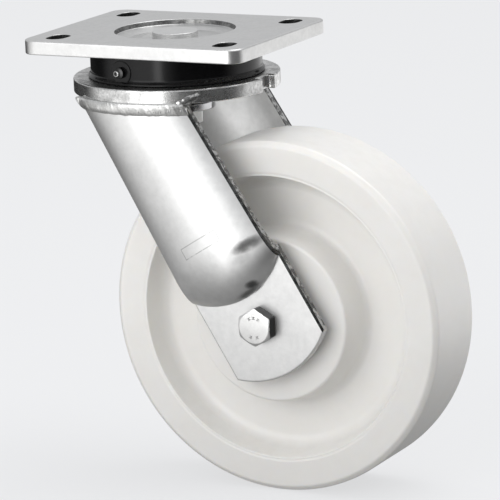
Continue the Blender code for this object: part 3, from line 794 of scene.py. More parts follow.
def make_ripple_tree():
    """Overlapping flat puddles along a curve, as a hand weld leaves them."""
    tree, given, out = new_group(
        "weld_ripples", "GeometryNodeTree",
        [("Geometry", GEOMETRY), ("Spacing", FLOAT, 0.0012), ("Puddle", FLOAT, 0.0036),
         ("Unevenness", FLOAT, 0.2), ("Seed", "NodeSocketInt", 3),
         ("Material", "NodeSocketMaterial")],
        [("Geometry", GEOMETRY)],
    )
    path = wire(tree, "GeometryNodeMeshToCurve", given.outputs["Geometry"])
    points = wire(tree, "GeometryNodeCurveToPoints", path, Length=given.outputs["Spacing"],
                  settings={"mode": "LENGTH"})
    puddle = wire(tree, "GeometryNodeMeshIcoSphere", Radius=given.outputs["Puddle"], Subdivisions=4)
    low = maths(tree, "SUBTRACT", 1.0, given.outputs["Unevenness"])
    high = maths(tree, "ADD", 1.0, maths(tree, "MULTIPLY", given.outputs["Unevenness"], 0.5))
    across = wire(tree, "FunctionNodeRandomValue", settings={"data_type": "FLOAT"})
    for index, value in ((2, low), (3, high), (8, given.outputs["Seed"])):
        plug(tree, across.inputs[index], value)
    size = wire(tree, "ShaderNodeCombineXYZ", across.outputs[1], across.outputs[1], 0.42)
    tilt = wire(tree, "FunctionNodeRandomValue", settings={"data_type": "FLOAT_VECTOR"})
    for index, value in ((0, (-0.16, -0.16, 0.0)), (1, (0.16, 0.16, 3.1)),
                         (8, given.outputs["Seed"])):
        plug(tree, tilt.inputs[index], value)
    turn = wire(tree, "FunctionNodeEulerToRotation", tilt.outputs[0])
    turn = wire(tree, "FunctionNodeRotateRotation", points.outputs["Rotation"], turn,
                settings={"rotation_space": "LOCAL"})
    row = wire(tree, "GeometryNodeInstanceOnPoints", Points=points.outputs["Points"],
               Instance=puddle, Rotation=turn, Scale=size)
    tree_end(tree, row, out, given)
    return tree


def ball_row(name, tree, count, pitch, ball, height, finish, body, nodes, place=None):
    base = bpy.data.meshes.new("row")
    mesh = grown_mesh(name, base, tree, {
        "Balls": count, "Pitch Radius": pitch * MM, "Ball Radius": ball * MM,
        "Height": height * MM, "Material": finish})
    if place:
        mesh.transform(Matrix.Scale(MM, 4) @ place @ Matrix.Scale(1 / MM, 4))
    return settled(name, mesh, finish, body, nodes)


# ---------------------------------------------------------------- the plate and swivel head


def make_top_plate():
    """Stamped plate: slots, a dished middle with a soft rim, and the boss that holds the pin."""
    outline = rounded_rectangle(PLATE_LENGTH, PLATE_WIDTH, PLATE_CORNER)
    walls = [(outline, rim(0, PLATE_LOW, 1.0, 0.6))]
    for x in (-SLOT_X, SLOT_X):
        for y in (-SLOT_Y, SLOT_Y):
            walls.append((slot(SLOT_WIDTH, SLOT_LENGTH, (x, y)), rim(0, PLATE_LOW, 0.8, 0.3, -1)))
    dish = softened([(37, 0, 0), (34.3, 0, 0.5), (33.4, -2.8, 0.5), (26.5, -5, 2.5),
                     (10.3, -5, 0.3), (10.3, -12, 0.3),
                     (28, -12, 1.2), (30.2, PLATE_LOW, 1.0), (33, PLATE_LOW, 0)], False)
    walls.append((circle(0), dish))
    # The slots' walls below their rounding take a near-black finish: painted shade in the holes
    plate = walled_plate(walls, (1, 2, 3, 4))
    # Steep faces of the dish's wall take a darker finish, a painted shade; the plate's sides take
    # the edge finish
    for face in plate.faces:
        middle = face.calc_center_median()
        if abs(face.normal.z) < 0.5 and middle.xy.length < 36 and middle.z > -4.6:
            face.material_index = 3
        elif abs(face.normal.z) < 0.5 and max(abs(middle.x) / PLATE_LENGTH,
                                              abs(middle.y) / PLATE_WIDTH) > 0.495:
            face.material_index = 2
    piece("castor_top_plate", plate, [ZINC_PLATE, SHEARED_PAINTED_SHADE, EDGE, DISH_WALL_PAINTED_SHADE], "plate",
          ["top_plate"])


def make_kingpin():
    head = [(0, -0.9, 0), (12.9, -0.9, 0.5), (12.9, -4.7, 0.3), (10, -4.7, 0.3), (10, -54.5, 1),
            (0, -54.5, 0)]
    pin = turned(head)
    for face in pin.faces:
        face.material_index = int(face.calc_center_median().xy.length > 12.6
                                  and abs(face.normal.z) < 0.4)
    piece("kingpin_turned", pin, [BOLT, ZINC_CUT], "plate", ["kingpin"])
    nut = hexagonal(KINGPIN_FLATS, 0, 8.6, 10.2, True)
    turn = Matrix.Translation((0, 0, -44.8)) @ Matrix.Rotation(math.pi, 4, "X")
    piece("kingpin_hex_nut", placed(nut, turn), BOLT, "plate", ["kingpin_nut"])


def race(low, high, inner, outer, pitch, ball, row, groove_at_top):
    """A race ring with a round groove that clears its ball row."""
    face, bottom = (high, low) if groove_at_top else (low, high)
    depth = abs(abs(row - face))
    half = math.sqrt(max((ball + 0.3) ** 2 - depth**2, 0.01))
    spread = math.degrees(math.atan2(half, depth))
    middle = 270 if groove_at_top else 90
    groove = arc((pitch, row), ball + 0.3, middle - spread, middle + spread, 12)
    if not groove_at_top:
        groove.reverse()
    outline = softened([(inner, bottom, 0.4), (inner, face, 0.4)] + [(x, y, 0) for x, y in groove]
                       + [(outer, face, 0.4), (outer, bottom, 0.4)])
    return polar(outline, 144, True)


def make_races():
    upper_face = UPPER_ROW + UPPER_BALL + 0.3 - 0.8
    bm = race(upper_face, -8.3, 32, 43, UPPER_PITCH, UPPER_BALL, UPPER_ROW, False)
    piece("upper_race_ring", bm, GROUND, "plate", ["upper_race"])
    face = UPPER_ROW - UPPER_BALL - 0.3 + 0.8
    bm = race(CROWN_TOP + 0.3, face, 32, 43, UPPER_PITCH, UPPER_BALL, UPPER_ROW, True)
    piece("crown_race_ring_upper", bm, GROUND, "fork", ["crown_race_upper"])
    face = LOWER_ROW + LOWER_BALL + 0.3 - 0.5
    bm = race(face, CROWN_LOW - 0.3, 12.5, 21, LOWER_PITCH, LOWER_BALL, LOWER_ROW, False)
    piece("crown_race_ring_lower", bm, GROUND, "fork", ["crown_race_lower"])
    face = LOWER_ROW - LOWER_BALL - 0.3 + 0.5
    bm = race(-44.5, face, 10.3, 21, LOWER_PITCH, LOWER_BALL, LOWER_ROW, True)
    piece("lower_race_ring", bm, GROUND, "plate", ["lower_race"])


def make_ball_rows():
    rows = (("upper", UPPER_BALL, UPPER_PITCH, UPPER_ROW, UPPER_COUNT),
            ("lower", LOWER_BALL, LOWER_PITCH, LOWER_ROW, LOWER_COUNT))
    for name, ball, pitch, height, count in rows:
        nodes = [f"{name}_ball_{k + 1:02d}" for k in range(count)]
        ball_row(f"{name}_balls", BALL_ROW, count, pitch, ball, height, GROUND, f"{name}_row",
                 nodes)
        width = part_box(f"{name}_cage")[1][0] / MM - pitch
        walls = [(circle(pitch + width, 144), rim(height + 0.8, height - 0.8, 0.25, 0.25)),
                 (circle(pitch - width, 144), rim(height + 0.8, height - 0.8, 0.25, 0.25, -1))]
        for k in range(count):
            a = TURN * k / count
            centre = (pitch * math.cos(a), pitch * math.sin(a))
            walls.append((circle(ball + 0.3, 32, centre),
                          rim(height + 0.8, height - 0.8, 0.2, 0.2, -1)))
        piece(f"{name}_ball_cage", walled_plate(walls), CAGE, f"{name}_row", [f"{name}_cage"])


def make_seal():
    """The black band with its lipped foot, its flat round boss and the grease nipple."""
    band = turned([(SEAL_INNER, -8.3, 0.4), (SEAL_INNER, -24.2, 0.3), (49.8, -24.2, 0.4),
                   (49.8, -23.2, 0.6), (SEAL_OUTER, -21.7, 1.6), (SEAL_OUTER, -8.3, 0.7)], 256)
    outward = Matrix.Rotation(NIPPLE_AZIMUTH, 4, "Z") @ Matrix.Translation((0, 0, NIPPLE_HEIGHT))
    outward = outward @ Matrix.Rotation(math.radians(90), 4, "Y")
    boss = turned([(2.7, 44.6, 0.2), (BOSS_RADIUS, 44.6, 0.2), (BOSS_RADIUS, BOSS_FACE, 0.55),
                   (2.7, BOSS_FACE, 0.3)], 96)
    piece("dust_band", joined(band, placed(boss, outward)), BAND, "plate", ["seal_ring"])
    body = turned([(0, 44.2, 0), (2.2, 44.2, 0.2), (2.2, BOSS_FACE + 0.3, 0.1),
                   (3.1, BOSS_FACE + 0.3, 0.2), (3.1, 50.7, 0.3), (1.5, 51.4, 0.3),
                   (1.3, 52.0, 0.2), (1.95, 52.5, 0.4), (1.5, NIPPLE_TIP, 0.35),
                   (0.7, NIPPLE_TIP, 0.15), (0.6, 52.7, 0.1), (0, 52.7, 0)], 48)
    # The tip's ring takes the bright finish against the dark body: a painted highlight
    for face in body.faces:
        middle = face.calc_center_median()
        face.material_index = int(middle.z > 52.6 and middle.xy.length > 1.2)
    piece("grease_fitting", placed(body, outward), [NIPPLE, BRIGHT], "plate", ["grease_nipple"])


# ---------------------------------------------------------------- the fork


def make_crown():
    rows = rim(CROWN_TOP, CROWN_LOW, 0.9, 0.7)
    walls = [(notched_circle(CROWN_RADIUS, 7.5, CROWN_RADIUS + 1 - 6, 2), rows),
             (circle(12, 96), rim(CROWN_TOP, CROWN_LOW, 0.4, 0.4, -1))]
    piece("crown_disc", walled_plate(walls), ZINC_CROWN, "fork", ["crown_plate"])


def leg_half_width(along):
    share = min(max((along + 28) / -122, 0), 1)
    return LEG_HALF_WIDTH + (LEG_TOP_HALF_WIDTH - LEG_HALF_WIDTH) * share


def leg_top(share, height):
    """How far along the leg a level cut is."""
    along = -150
    for _ in range(5):
        across = share * leg_half_width(along)
        along = (AXLE.z + math.sin(LEG_ANGLE) * (across + LEG_SHIFT) - height) / math.cos(LEG_ANGLE)
    return along


def leg_point(along, across, depth, sign):
    point = AXLE + DOWN * along + FORWARD * (across + LEG_SHIFT)
    return Vector((point.x, sign * depth, point.z))


def pressing(along, across):
    """How far the press has drawn the sheet in: two small wrinkles where the curve ends."""
    made = 0
    for at, off, depth, dive, back, wide in ((-40.0, 21.5, 0.5, 2.6, 9.0, 8.0),
                                             (-22.0, 9.5, 0.5, 1.6, 6.0, 3.2),
                                             (-40.5, -24.5, 0.3, 4.0, 8.0, 4.5)):
        long = dive if along < at else back
        made += depth * math.exp(-(((along - at) / long) ** 2) - ((across - off) / wide) ** 2)
    return made


def make_leg(name):
    """A pressed sheet leg: curved trough, dome and flat end, as rings round the whole section."""
    sign = side(name)
    soft, columns = 0.8, 88
    flat_share = 1 - soft / LEG_HALF_WIDTH
    skin = [-flat_share + 2 * flat_share * j / columns for j in range(columns + 1)]
    skin[1:1] = [-flat_share + 0.008]
    skin[-1:-1] = [flat_share - 0.008]
    curve = [math.radians(a) for a in (22.5, 45, 67.5, 90)]
    right = [(flat_share + soft / LEG_HALF_WIDTH * math.sin(a), soft * (1 - math.cos(a)))
             for a in curve]
    right += [(1, LEG_SHEET * t) for t in (0.3, 0.5, 0.7)]
    right += [(s, LEG_SHEET - t) for s, t in reversed(right[:4])]
    loop = [(s, 0.0, 0) for s in skin] + [(s, t, 1) for s, t in right]
    loop += [(s, LEG_SHEET, 0) for s in reversed(skin)]
    loop += [(-s, LEG_SHEET - t, 2) for s, t in right]
    rows = [("trough", t / 56) for t in range(56)]
    rows += [("dome", t / 40) for t in range(41)]
    rows += [("flat", t) for t in (0.008, 0.02, 0.05)] + [("flat", t / 14) for t in range(1, 14)]
    rows += [("flat", 0.985)] + [("tip", a) for a in (0, 22.5, 45, 67.5, 90)]
    bm = bmesh.new()
    rings = []
    for kind, t in rows:
        ring = []
        for share, behind, _ in loop:
            across = share * LEG_HALF_WIDTH
            squeeze = soft * (1 - math.cos(math.radians(t))) if kind == "tip" else 0
            thick = min(max(behind, squeeze), LEG_SHEET - squeeze)
            bulge = math.sqrt(LEG_CURVE**2 - across**2) - LEG_FACE
            end = DOME_END - DOME_END_RADIUS + math.sqrt(DOME_END_RADIUS**2 - across**2)
            end -= 0.9 * thick
            start = end - DOME_SLOPE * bulge + 0.5 * thick
            tip = LEG_END - LEG_END_RADIUS + math.sqrt(LEG_END_RADIUS**2 - across**2)
            depth = LEG_FACE - thick
            if kind == "trough":
                high = leg_top(share, CROWN_LOW - 0.3)
                along, depth = high + (start - high) * t, depth + bulge
            elif kind == "dome":
                angle = math.pi / 2 * t
                along = start + (end - start) * math.sin(angle)
                depth += bulge * math.cos(angle)
            elif kind == "flat":
                along = end + (tip - soft - end) * t
            else:
                along = tip - soft * (1 - math.sin(math.radians(t)))
            wide = share * leg_half_width(along)
            if kind != "flat" and kind != "tip":
                depth -= pressing(along, wide) * (1 if depth > LEG_FACE - 1 else 0)
            ring.append(bm.verts.new(leg_point(along, wide, depth, sign)))
        rings.append(ring)
    for a, b in zip(rings, rings[1:]):
        for k in range(len(loop)):
            n = (k + 1) % len(loop)
            edge = loop[k][2] or loop[n][2]
            if edge == 1 and (loop[k][1] + loop[n][1]) / 2 > 0.35 * LEG_SHEET:
                edge = 3
            bm.faces.new((a[k], a[n], b[n], b[k])).material_index = edge
    count, turn = len(skin), len(right)
    for ring in (rings[0], rings[-1]):
        for k in range(count - 1):
            m = 2 * count + turn - 1 - k
            bm.faces.new((ring[k], ring[k + 1], ring[m - 1], ring[m])).material_index = 2
        bm.faces.new(ring[count - 1:count + turn + 1]).material_index = 2
        bm.faces.new(ring[2 * count + turn - 1:] + ring[:1]).material_index = 2
    # The sheet's edge has a near-black painted shade near the face, and is torn over the rest of
    # its thickness
    piece(f"pressed_leg_{name}", bm, [ZINC_LEG, SHEARED_PAINTED_SHADE, ZINC_CUT, TORN], "fork",
          [f"fork_leg_{name}"], 24)


def bead_foot(share, sign):
    """The leg's outer top edge, the way out from it and how far the crown's rim is."""
    top = CROWN_LOW - 0.3
    along = leg_top(share, top)
    bulge = math.sqrt(LEG_CURVE**2 - (share * LEG_HALF_WIDTH) ** 2)
    foot = leg_point(along, share * leg_half_width(along), bulge, sign)
    lean = share * LEG_HALF_WIDTH / bulge * math.cos(LEG_ANGLE)
    out = Vector((lean, sign, 0)).normalized()
    reach = (foot.xy.length_squared - CROWN_RADIUS**2) / (2 * CROWN_RADIUS)
    gap = max(-reach / max(out.xy.dot(foot.xy.normalized()), 0.5), 0)
    return foot, out, gap


def make_weld(name):
    """The fillet weld between leg and crown, wrapped round both ends of the sheet: a solid bead
    with puddled ripples over it."""
    sign = side(name)
    run = []
    for k in range(141):
        run.append((*bead_foot(sign * (1 - k / 70), sign), 1.0))
    for end in (0, -1):
        foot, out, gap, _ = run[end]
        way = Vector((1 if foot.x > 0 else -1, 0, 0))
        wrap = []
        for t in range(1, 7):
            turn = t / 6
            wrap.append((foot, (out * (1 - turn) + way * turn).normalized(), 1.4, 1 - 0.06 * t))
        run = wrap[::-1] + run if end == 0 else run + wrap
    bm = bmesh.new()
    rings, crest = [], []
    for k, (foot, out, gap, fade) in enumerate(run):
        swell = fade * (1 + 0.08 * noise.noise(Vector((k * 0.13, sign * 4, 0))))
        reach = min(gap, 3.0)
        section = [(-1.2, -6.4), (0.15, -6.2), (0.9, -5.4), (1.5, -4.2), (0.4 * reach + 1.5, -2.4),
                   (0.9 * reach + 1.0, -0.8), (reach + 0.7, 0.2), (reach + 0.2, 1.0),
                   (reach - 0.9, 1.2), (-1.2, 0.6)]
        ring = []
        for a, h in section:
            h *= swell
            shear = -h * math.tan(LEG_ANGLE) if h < 0 else 0
            wobble = 0.2 * noise.noise(Vector((k * 0.5, h * 1.3, a + sign * 9)))
            ring.append(bm.verts.new(foot + out * (a * swell + wobble) + Vector((shear, 0, h))))
        rings.append(ring)
        shear = 3.0 * math.tan(LEG_ANGLE)
        if fade == 1:
            crest.append(foot + out * (0.4 * reach - 0.8) + Vector((shear, 0, -3.0)))
    for a, b in zip(rings, rings[1:]):
        bridge(bm, a, b)
    bm.faces.new(rings[0])
    bm.faces.new(rings[-1])
    # The run ends on the trailing side, where it climbs on to the crown's rim
    climb = []
    for t in range(25):
        u = t / 24
        a = sign * math.radians(60 - 9.5 * u + 3.2 * math.sin(u * 5.2))
        climb.append((Vector((math.cos(a) * 57.2, math.sin(a) * 57.2, -35.6 + 9.6 * u)),
                      2.5 * math.sin(math.pi * (0.12 + 0.84 * u)) ** 0.5, a))
    lump = bmesh.new()
    rings = []
    for k, (centre, size, azimuth) in enumerate(climb):
        before, after = climb[max(k - 1, 0)][0], climb[min(k + 1, 24)][0]
        ahead = (after - before).normalized()
        outward = Vector((math.cos(azimuth), math.sin(azimuth), 0))
        sideways = ahead.cross(outward).normalized()
        outward = sideways.cross(ahead)
        ring = []
        for j in range(20):
            b = TURN * j / 20
            r = size * (1 + 0.3 * noise.noise(Vector((k * 0.42, 3 * math.cos(b), 3 * math.sin(b)))))
            ring.append(lump.verts.new(centre + sideways * (r * 1.25 * math.cos(b))
                                       + outward * (0.62 * r * math.sin(b))))
        rings.append(ring)
    for a, b in zip(rings, rings[1:]):
        bridge(lump, a, b)
    lump.faces.new(rings[0])
    lump.faces.new(rings[-1])
    bmesh.ops.recalc_face_normals(lump, faces=lump.faces)
    piece(f"weld_climb_{name}", lump, ZINC_CLIMB, "fork", (), 60)
    piece(f"weld_fillet_{name}", bm, ZINC_WELD, "fork", [f"weld_bead_{name}"], 60)
    base = bpy.data.meshes.new("path")
    links = [(i, i + 1) for i in range(len(crest) - 1)]
    base.from_pydata([tuple(p * MM) for p in crest], links, [])
    mesh = grown_mesh(f"weld_run_{name}", base, RIPPLES, {
        "Spacing": 1.35 * MM, "Puddle": 2.0 * MM, "Unevenness": 0.16, "Seed": 3 + sign,
        "Material": ZINC_WELD})
    settled(f"weld_run_{name}", mesh, ZINC_WELD, "fork", ())


# ---------------------------------------------------------------- the axle and the wheel


def make_axle():
    """Hexagon bolt, lock nut, washer, and the tubes clamped between the legs."""
    start = LEG_FACE + CLEAR
    turn = along_axle("left") @ Matrix.Rotation(math.radians(90), 4, "Z")
    head = hexagonal(AXLE_FLATS, start, start + 7.5)
    # The head's hexagon sides take a near-black finish: painted shade
    for face in head.faces:
        middle = face.calc_center_median()
        face.material_index = int(abs(face.normal.z) < 0.2 and middle.z < start + 6.9
                                  and middle.xy.length > 7)
    head = placed(head, turn)
    shank = turned([(0, -54.5, 0), (5.3, -54.5, 0.8), (5.3, -42, 0.3), (6, -41, 0.2),
                    (6, start + 1, 0), (0, start + 1, 0)], 96)
    marks = []
    for a in (60, 90, 120, 250, 290):
        way = Matrix.Rotation(math.radians(a), 4, "Z")
        dash = rounded_rectangle(1.5, 0.7, 0.3)
        bm = walled_plate([(dash, rim(start + 7.62, start + 7.3, 0.08, 0.05))])
        marks.append(placed(bm, along_axle("left") @ way @ Matrix.Translation((5.6, 0, 0))))
    shank = placed(shank, along_axle("left"))
    piece("axle_hex_bolt", joined(head, shank, *marks), [BOLT, BOLT_SIDE_PAINTED_SHADE], "fork", ["axle_bolt"])
    base = bpy.data.meshes.new("thread")
    mesh = grown_mesh("axle_thread", base, THREAD, {
        "Turns": 7.0, "Radius": 5.35 * MM, "Length": 12.2 * MM, "Start": 41.9 * MM,
        "Ridge": 0.62 * MM, "Material": BRIGHT})
    place = along_axle("right")
    mesh.transform(Matrix.Scale(MM, 4) @ place @ Matrix.Scale(1 / MM, 4))
    settled("axle_thread", mesh, BRIGHT, "fork", ())
    washer = tube(6.3, 12, start, start + 2.5, 0.35)
    piece("axle_flat_washer", placed(washer, along_axle("right")), BRIGHT, "fork", ["axle_washer"])
    low = start + 2.8
    nut = hexagonal(AXLE_FLATS, low, low + 7.4, 6.3, True, (7.9, low + 10))
    turn = along_axle("right") @ Matrix.Rotation(math.radians(90), 4, "Z")
    piece("axle_lock_nut", placed(nut, turn), BRIGHT, "fork", ["axle_nut"])
    reach = LEG_FACE - LEG_SHEET - CLEAR
    piece("axle_bush", placed(tube(6.3, 10, -reach, reach), along_axle()), BRIGHT, "fork",
          ["axle_sleeve"])
    distance = placed(tube(10.3, 13, -15.7, 15.7), along_axle())
    piece("bearing_distance_tube", distance, BRIGHT, "fork", ["distance_tube"])
    for name in ("left", "right"):
        spacer = placed(tube(10.3, 14, 30.3, reach, 0.5), along_axle(name))
        piece(f"hub_spacer_{name}", spacer, BRIGHT, "fork", [f"spacer_{name}"])


def make_wheel():
    """One-piece nylon wheel, turned from its profile by geometry nodes."""
    upper = [(20, 15.7, 0.4), (23.8, 15.7, 0.3), (23.8, 29, 0.7), (46.6, 29, 1.6), (50.6, 9, 4.5),
             (76.6, 9, 7.0), (80.6, 24.9, 1.5), (81.8, 24.75, 0.5), (82.9, 25, 1.0),
             (97.2, 25, 2.2), (100, 22.4, 2.4)]
    lower = [(r, -y, soft) for r, y, soft in reversed(upper)]
    profile = softened(upper + lower)
    base = bpy.data.meshes.new("profile")
    base.from_pydata([(r * MM, 0, y * MM) for r, y in profile], [], [])
    mesh = grown_mesh("castor_wheel", base, LATHE, {"Steps": 256, "Material": NYLON})
    mesh.transform(Matrix.Scale(MM, 4) @ along_axle() @ Matrix.Scale(1 / MM, 4))
    bm = bmesh.new()
    bm.from_mesh(mesh)
    bmesh.ops.recalc_face_normals(bm, faces=bm.faces)
    if bm.calc_volume(signed=True) < 0:
        bmesh.ops.reverse_faces(bm, faces=bm.faces)
    bm.to_mesh(mesh)
    bm.free()
    finish_mesh(mesh, 32)
    settled("castor_wheel", mesh, NYLON, "wheel", ["wheel"])


def make_bearing(name):
    """Inner and outer rings with round grooves, shield, and the caged balls."""
    place = along_axle(name)
    inner_land, outer_land, reach = 14.2, 19.3, BEARING_BALL + 0.3
    for label, bore, land, body, end in (("inner", 10.3, inner_land, "fork", 30),
                                         ("outer", 23.5, outer_land, "wheel", 29)):
        gap = abs(BEARING_PITCH - land)
        spread = math.degrees(math.acos(gap / reach))
        middle = 180 if label == "inner" else 0
        groove = arc((BEARING_PITCH, BEARING_MIDDLE), reach, middle - spread, middle + spread, 12)
        groove.sort(key=lambda p: p[1])
        outline = softened([(bore, 16, 0.5), (land, 16, 0.4)] + [(x, y, 0) for x, y in groove]
                           + [(land, end, 0.4), (bore, end, 0.5)])
        ring = placed(polar(outline, 128, True), place)
        piece(f"bearing_{label}_ring_{name}", ring, GROUND, body, [f"bearing_{label}_{name}"])
    shield = turned([(14.5, 27.8, 0.1), (19, 27.8, 0.1), (19, 28.8, 0.3), (17.6, 28.8, 0.2),
                     (17.1, 28.45, 0.2), (15.6, 28.45, 0.2), (15.1, 28.8, 0.2),
                     (14.5, 28.8, 0.2)], 128)
    piece(f"bearing_cover_{name}", placed(shield, place), GROUND, "wheel",
          [f"bearing_shield_{name}"])
    cage = tube(BEARING_PITCH - 0.7, BEARING_PITCH + 0.7, 19.5, 26.5, 0.25, 96)
    piece(f"bearing_cage_{name}", placed(cage, place), CAGE, f"{name}_balls",
          [f"bearing_balls_{name}"])
    ball_row(f"bearing_ball_row_{name}", BALL_ROW, BEARING_COUNT, BEARING_PITCH, BEARING_BALL,
             BEARING_MIDDLE, GROUND, f"{name}_balls", (), place)


# ---------------------------------------------------------------- studio


def look_from(azimuth, elevation, roll, distance, target, slide, rise):
    """A camera that looks at a point from an angle, slid across and up its own picture."""
    a, e, r = (math.radians(x) for x in (azimuth, elevation, roll))
    back = Vector((math.sin(a) * math.cos(e), -math.cos(a) * math.cos(e), math.sin(e)))
    right = Vector((math.cos(a), math.sin(a), 0))
    up = back.cross(right)
    right, up = (right * math.cos(r) - up * math.sin(r), right * math.sin(r) + up * math.cos(r))
    place = Vector(target) + back * distance - right * slide - up * rise
    camera = bpy.data.objects.new("camera", bpy.data.cameras.new("camera"))
    matrix = Matrix((right, up, back)).transposed().to_4x4()
    matrix.translation = place
    camera.matrix_world = matrix
    camera.data.lens = 247.2
    camera.data.sensor_width = 36
    camera.data.clip_end = 200
    bpy.context.collection.objects.link(camera)
    bpy.context.scene.camera = camera


def softbox(name, place, aim, width, height, power, colour=(1, 1, 1), spread=180):
    """A large rectangular lamp that the camera doesn't see."""
    lamp = bpy.data.lights.new(name, "AREA")
    lamp.shape, lamp.size, lamp.size_y = "RECTANGLE", width, height
    lamp.energy, lamp.color, lamp.spread = power, colour, math.radians(spread)
    made = bpy.data.objects.new(name, lamp)
    made.location = place
    made.rotation_euler = (Vector(aim) - Vector(place)).to_track_quat("-Z", "Y").to_euler()
    made.visible_camera = False
    bpy.context.collection.objects.link(made)


def make_studio():
    """Pale floor, pale surroundings and soft lamps."""
    bm = bmesh.new()
    bmesh.ops.create_grid(bm, x_segments=1, y_segments=1, size=12)
    mesh = bpy.data.meshes.new("floor")
    bm.to_mesh(mesh)
    bm.free()
    floor = bpy.data.objects.new("floor", mesh)
    floor.location = (0, 0, FLOOR * MM - 0.0002)
    bpy.context.collection.objects.link(floor)
    finish = bpy.data.materials.new("pale_floor")
    finish.use_nodes = True
    tree = finish.node_tree
    shader = tree.nodes["Principled BSDF"]
    shader.inputs["Base Color"].default_value = (0.22, 0.222, 0.227, 1)
    shader.inputs["Roughness"].default_value = 1.0
    shader.inputs["Specular IOR Level"].default_value = 0.0
    shader.inputs["Emission Color"].default_value = (0.985, 0.99, 1.0, 1)
    shader.inputs["Emission Strength"].default_value = 0.63
    # What the metal sees in the floor: two lit sides and two shaded ones, darker close in
    place = wire(tree, "ShaderNodeTexCoord").outputs["Object"]
    split = wire(tree, "ShaderNodeSeparateXYZ", place)
    away = wire(tree, "ShaderNodeVectorMath", place,
                settings={"operation": "LENGTH"}).outputs["Value"]
    angle = maths(tree, "ARCTAN2", split.outputs["Y"], split.outputs["X"])
    turn = maths(tree, "MULTIPLY", maths(tree, "SUBTRACT", angle, -2.06), 2.0)
    swing = maths(tree, "COSINE", turn)
    lit = ranged(tree, swing, -0.6, 0.7, 0.03, 1.15, True)
    # A narrow bright strip, painted light for the metal to reflect as a streak of highlight
    strip = ranged(tree, maths(tree, "ABSOLUTE", maths(tree, "SUBTRACT", angle, -1.5)), 0.03, 0.14,
                   2.6, 0.0, True)
    lit = maths(tree, "ADD", lit, strip)
    lit = mixed(tree, ranged(tree, away, 0.12, 0.5, 0.0, 1.0, True), (0.3, 0.3, 0.3), lit)
    seen = wire(tree, "ShaderNodeEmission", lit)
    path = wire(tree, "ShaderNodeLightPath").outputs["Is Camera Ray"]
    shown = wire(tree, "ShaderNodeMixShader", path, seen, shader)
    plug(tree, tree.nodes["Material Output"].inputs["Surface"], shown)
    mesh.materials.append(finish)

    world = bpy.data.worlds.new("studio")
    world.use_nodes = True
    bpy.context.scene.world = world
    tree = world.node_tree
    background = tree.nodes["Background"]
    place = wire(tree, "ShaderNodeTexCoord").outputs["Generated"]
    split = wire(tree, "ShaderNodeSeparateXYZ", place)
    up = ranged(tree, split.outputs["Z"], 0.0, 0.9, 0.0, 1.0, True)
    around = mixed(tree, up, (0.7, 0.705, 0.715), (0.9, 0.91, 0.93))
    path = wire(tree, "ShaderNodeLightPath").outputs["Is Camera Ray"]
    plug(tree, background.inputs["Color"], mixed(tree, path, around, (1.03, 1.04, 1.06)))
    background.inputs["Strength"].default_value = 0.8

    sun = bpy.data.lights.new("overhead", "SUN")
    sun.energy, sun.angle = 0.72, math.radians(50)
    made = bpy.data.objects.new("overhead", sun)
    made.rotation_euler = Vector((-0.55, -0.25, -1)).to_track_quat("-Z", "Y").to_euler()
    bpy.context.collection.objects.link(made)
    softbox("front", (-0.25, -1.5, 0.3), (0.02, 0, -0.12), 1.3, 1.1, 9)
    softbox("top", (0.3, 0.3, 1.6), (0.05, 0, -0.1), 1.4, 1.0, 6)


# ---------------------------------------------------------------- the scene

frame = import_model()

EFFECTS = {"grain": make_grain(), "mottle": make_mottle(), "wear": make_edge_wear(),
           "scratches": make_scratches(), "dust": make_dust(), "frame": make_stamped_frame()}
ZINC_PLATE = zinc_finish("zinc_plate_satin", (0.72, 0.72, 0.715), (0.6, 0.6, 0.595), 0.3, 0.42,
                         60.0, 0.4)
ZINC_CROWN = zinc_finish("zinc_crown_mottled", (0.78, 0.78, 0.775), (0.4, 0.4, 0.395), 0.2, 0.34,
                         120.0, 0.75)
ZINC_LEG = zinc_finish("zinc_leg_satin", (0.74, 0.74, 0.735), (0.64, 0.64, 0.635), 0.36, 0.44,
                       35.0, 0.35, frame=True)
ZINC_WELD = zinc_finish("zinc_weld_bead", (0.78, 0.78, 0.77), (0.45, 0.45, 0.44), 0.3, 0.45,
                        160.0, 0.6, 0.00005, wear_share=0.15)
ZINC_CLIMB = zinc_finish("zinc_weld_climb", (0.7, 0.7, 0.69), (0.12, 0.12, 0.12), 0.25, 0.45,
                         300.0, 1.0, 0.0001, wear_share=0.1)
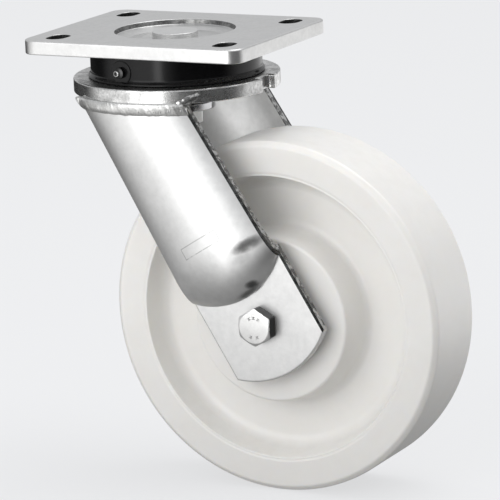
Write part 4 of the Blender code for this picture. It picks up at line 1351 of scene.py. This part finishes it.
# Near-black painted shade for the slots' walls and for the legs' edges near the face
SHEARED_PAINTED_SHADE = zinc_finish("zinc_edge_painted_shade", (0.075, 0.075, 0.075), (0.02, 0.02, 0.02), 0.4, 0.55,
                      260.0, 0.9, 0.0001, wear_share=0.06, dusting=0.04)
ZINC_CUT = zinc_finish("zinc_cut_edge", (0.7, 0.7, 0.695), (0.52, 0.52, 0.515), 0.42, 0.56,
                       230.0, 0.6, 0.00006, wear_share=0.3)
TORN = zinc_finish("zinc_torn_edge", (0.5, 0.5, 0.495), (0.1, 0.1, 0.1), 0.45, 0.6, 330.0, 1.0,
                   0.0001, wear_share=0.1)
EDGE = zinc_finish("zinc_plate_edge", (0.66, 0.66, 0.655), (0.58, 0.58, 0.575), 0.3, 0.4, 60.0, 0.3,
                   wear_share=0.3)
# Darker zinc for the dish's wall: painted shade
DISH_WALL_PAINTED_SHADE = zinc_finish("zinc_dish_wall_painted_shade", (0.3, 0.3, 0.295), (0.1, 0.1, 0.1), 0.3, 0.45,
                        90.0, 0.8, wear_share=0.2)
BRIGHT = steel_finish("bright_plated_steel", (0.72, 0.72, 0.71), 0.24)
BOLT = steel_finish("bright_bolt", (0.86, 0.86, 0.85), 0.3)
# Near-black steel for the bolt head's sides: painted shade
BOLT_SIDE_PAINTED_SHADE = steel_finish("bolt_side_painted_shade", (0.045, 0.045, 0.045), 0.3, wear_amount=0.12)
NIPPLE = steel_finish("nipple_steel", (0.07, 0.07, 0.07), 0.3, wear_amount=0.1)
GROUND = steel_finish("ground_bearing_steel", (0.6, 0.6, 0.61), 0.12, wear_amount=0.3)
BAND = band_finish()
NYLON = nylon_finish()
CAGE = polymer_finish("cage_polymer_green", (0.03, 0.09, 0.07), (0.05, 0.13, 0.1), 0.38)
BALL_ROW, THREAD, LATHE, RIPPLES = (make_ball_row_tree(), make_thread_tree(), make_lathe_tree(),
                                    make_ripple_tree())

make_top_plate()
make_kingpin()
make_races()
make_ball_rows()
make_seal()
make_crown()
make_axle()
make_wheel()
for each in ("left", "right"):
    make_leg(each)
    make_weld(each)
    make_bearing(each)
make_studio()
look_from(27.91, 12.94, 2.34, 1.9278, (0.06, 0, -0.126), 0.01613, -0.00269)
bpy.context.scene.view_settings.view_transform = "Standard"
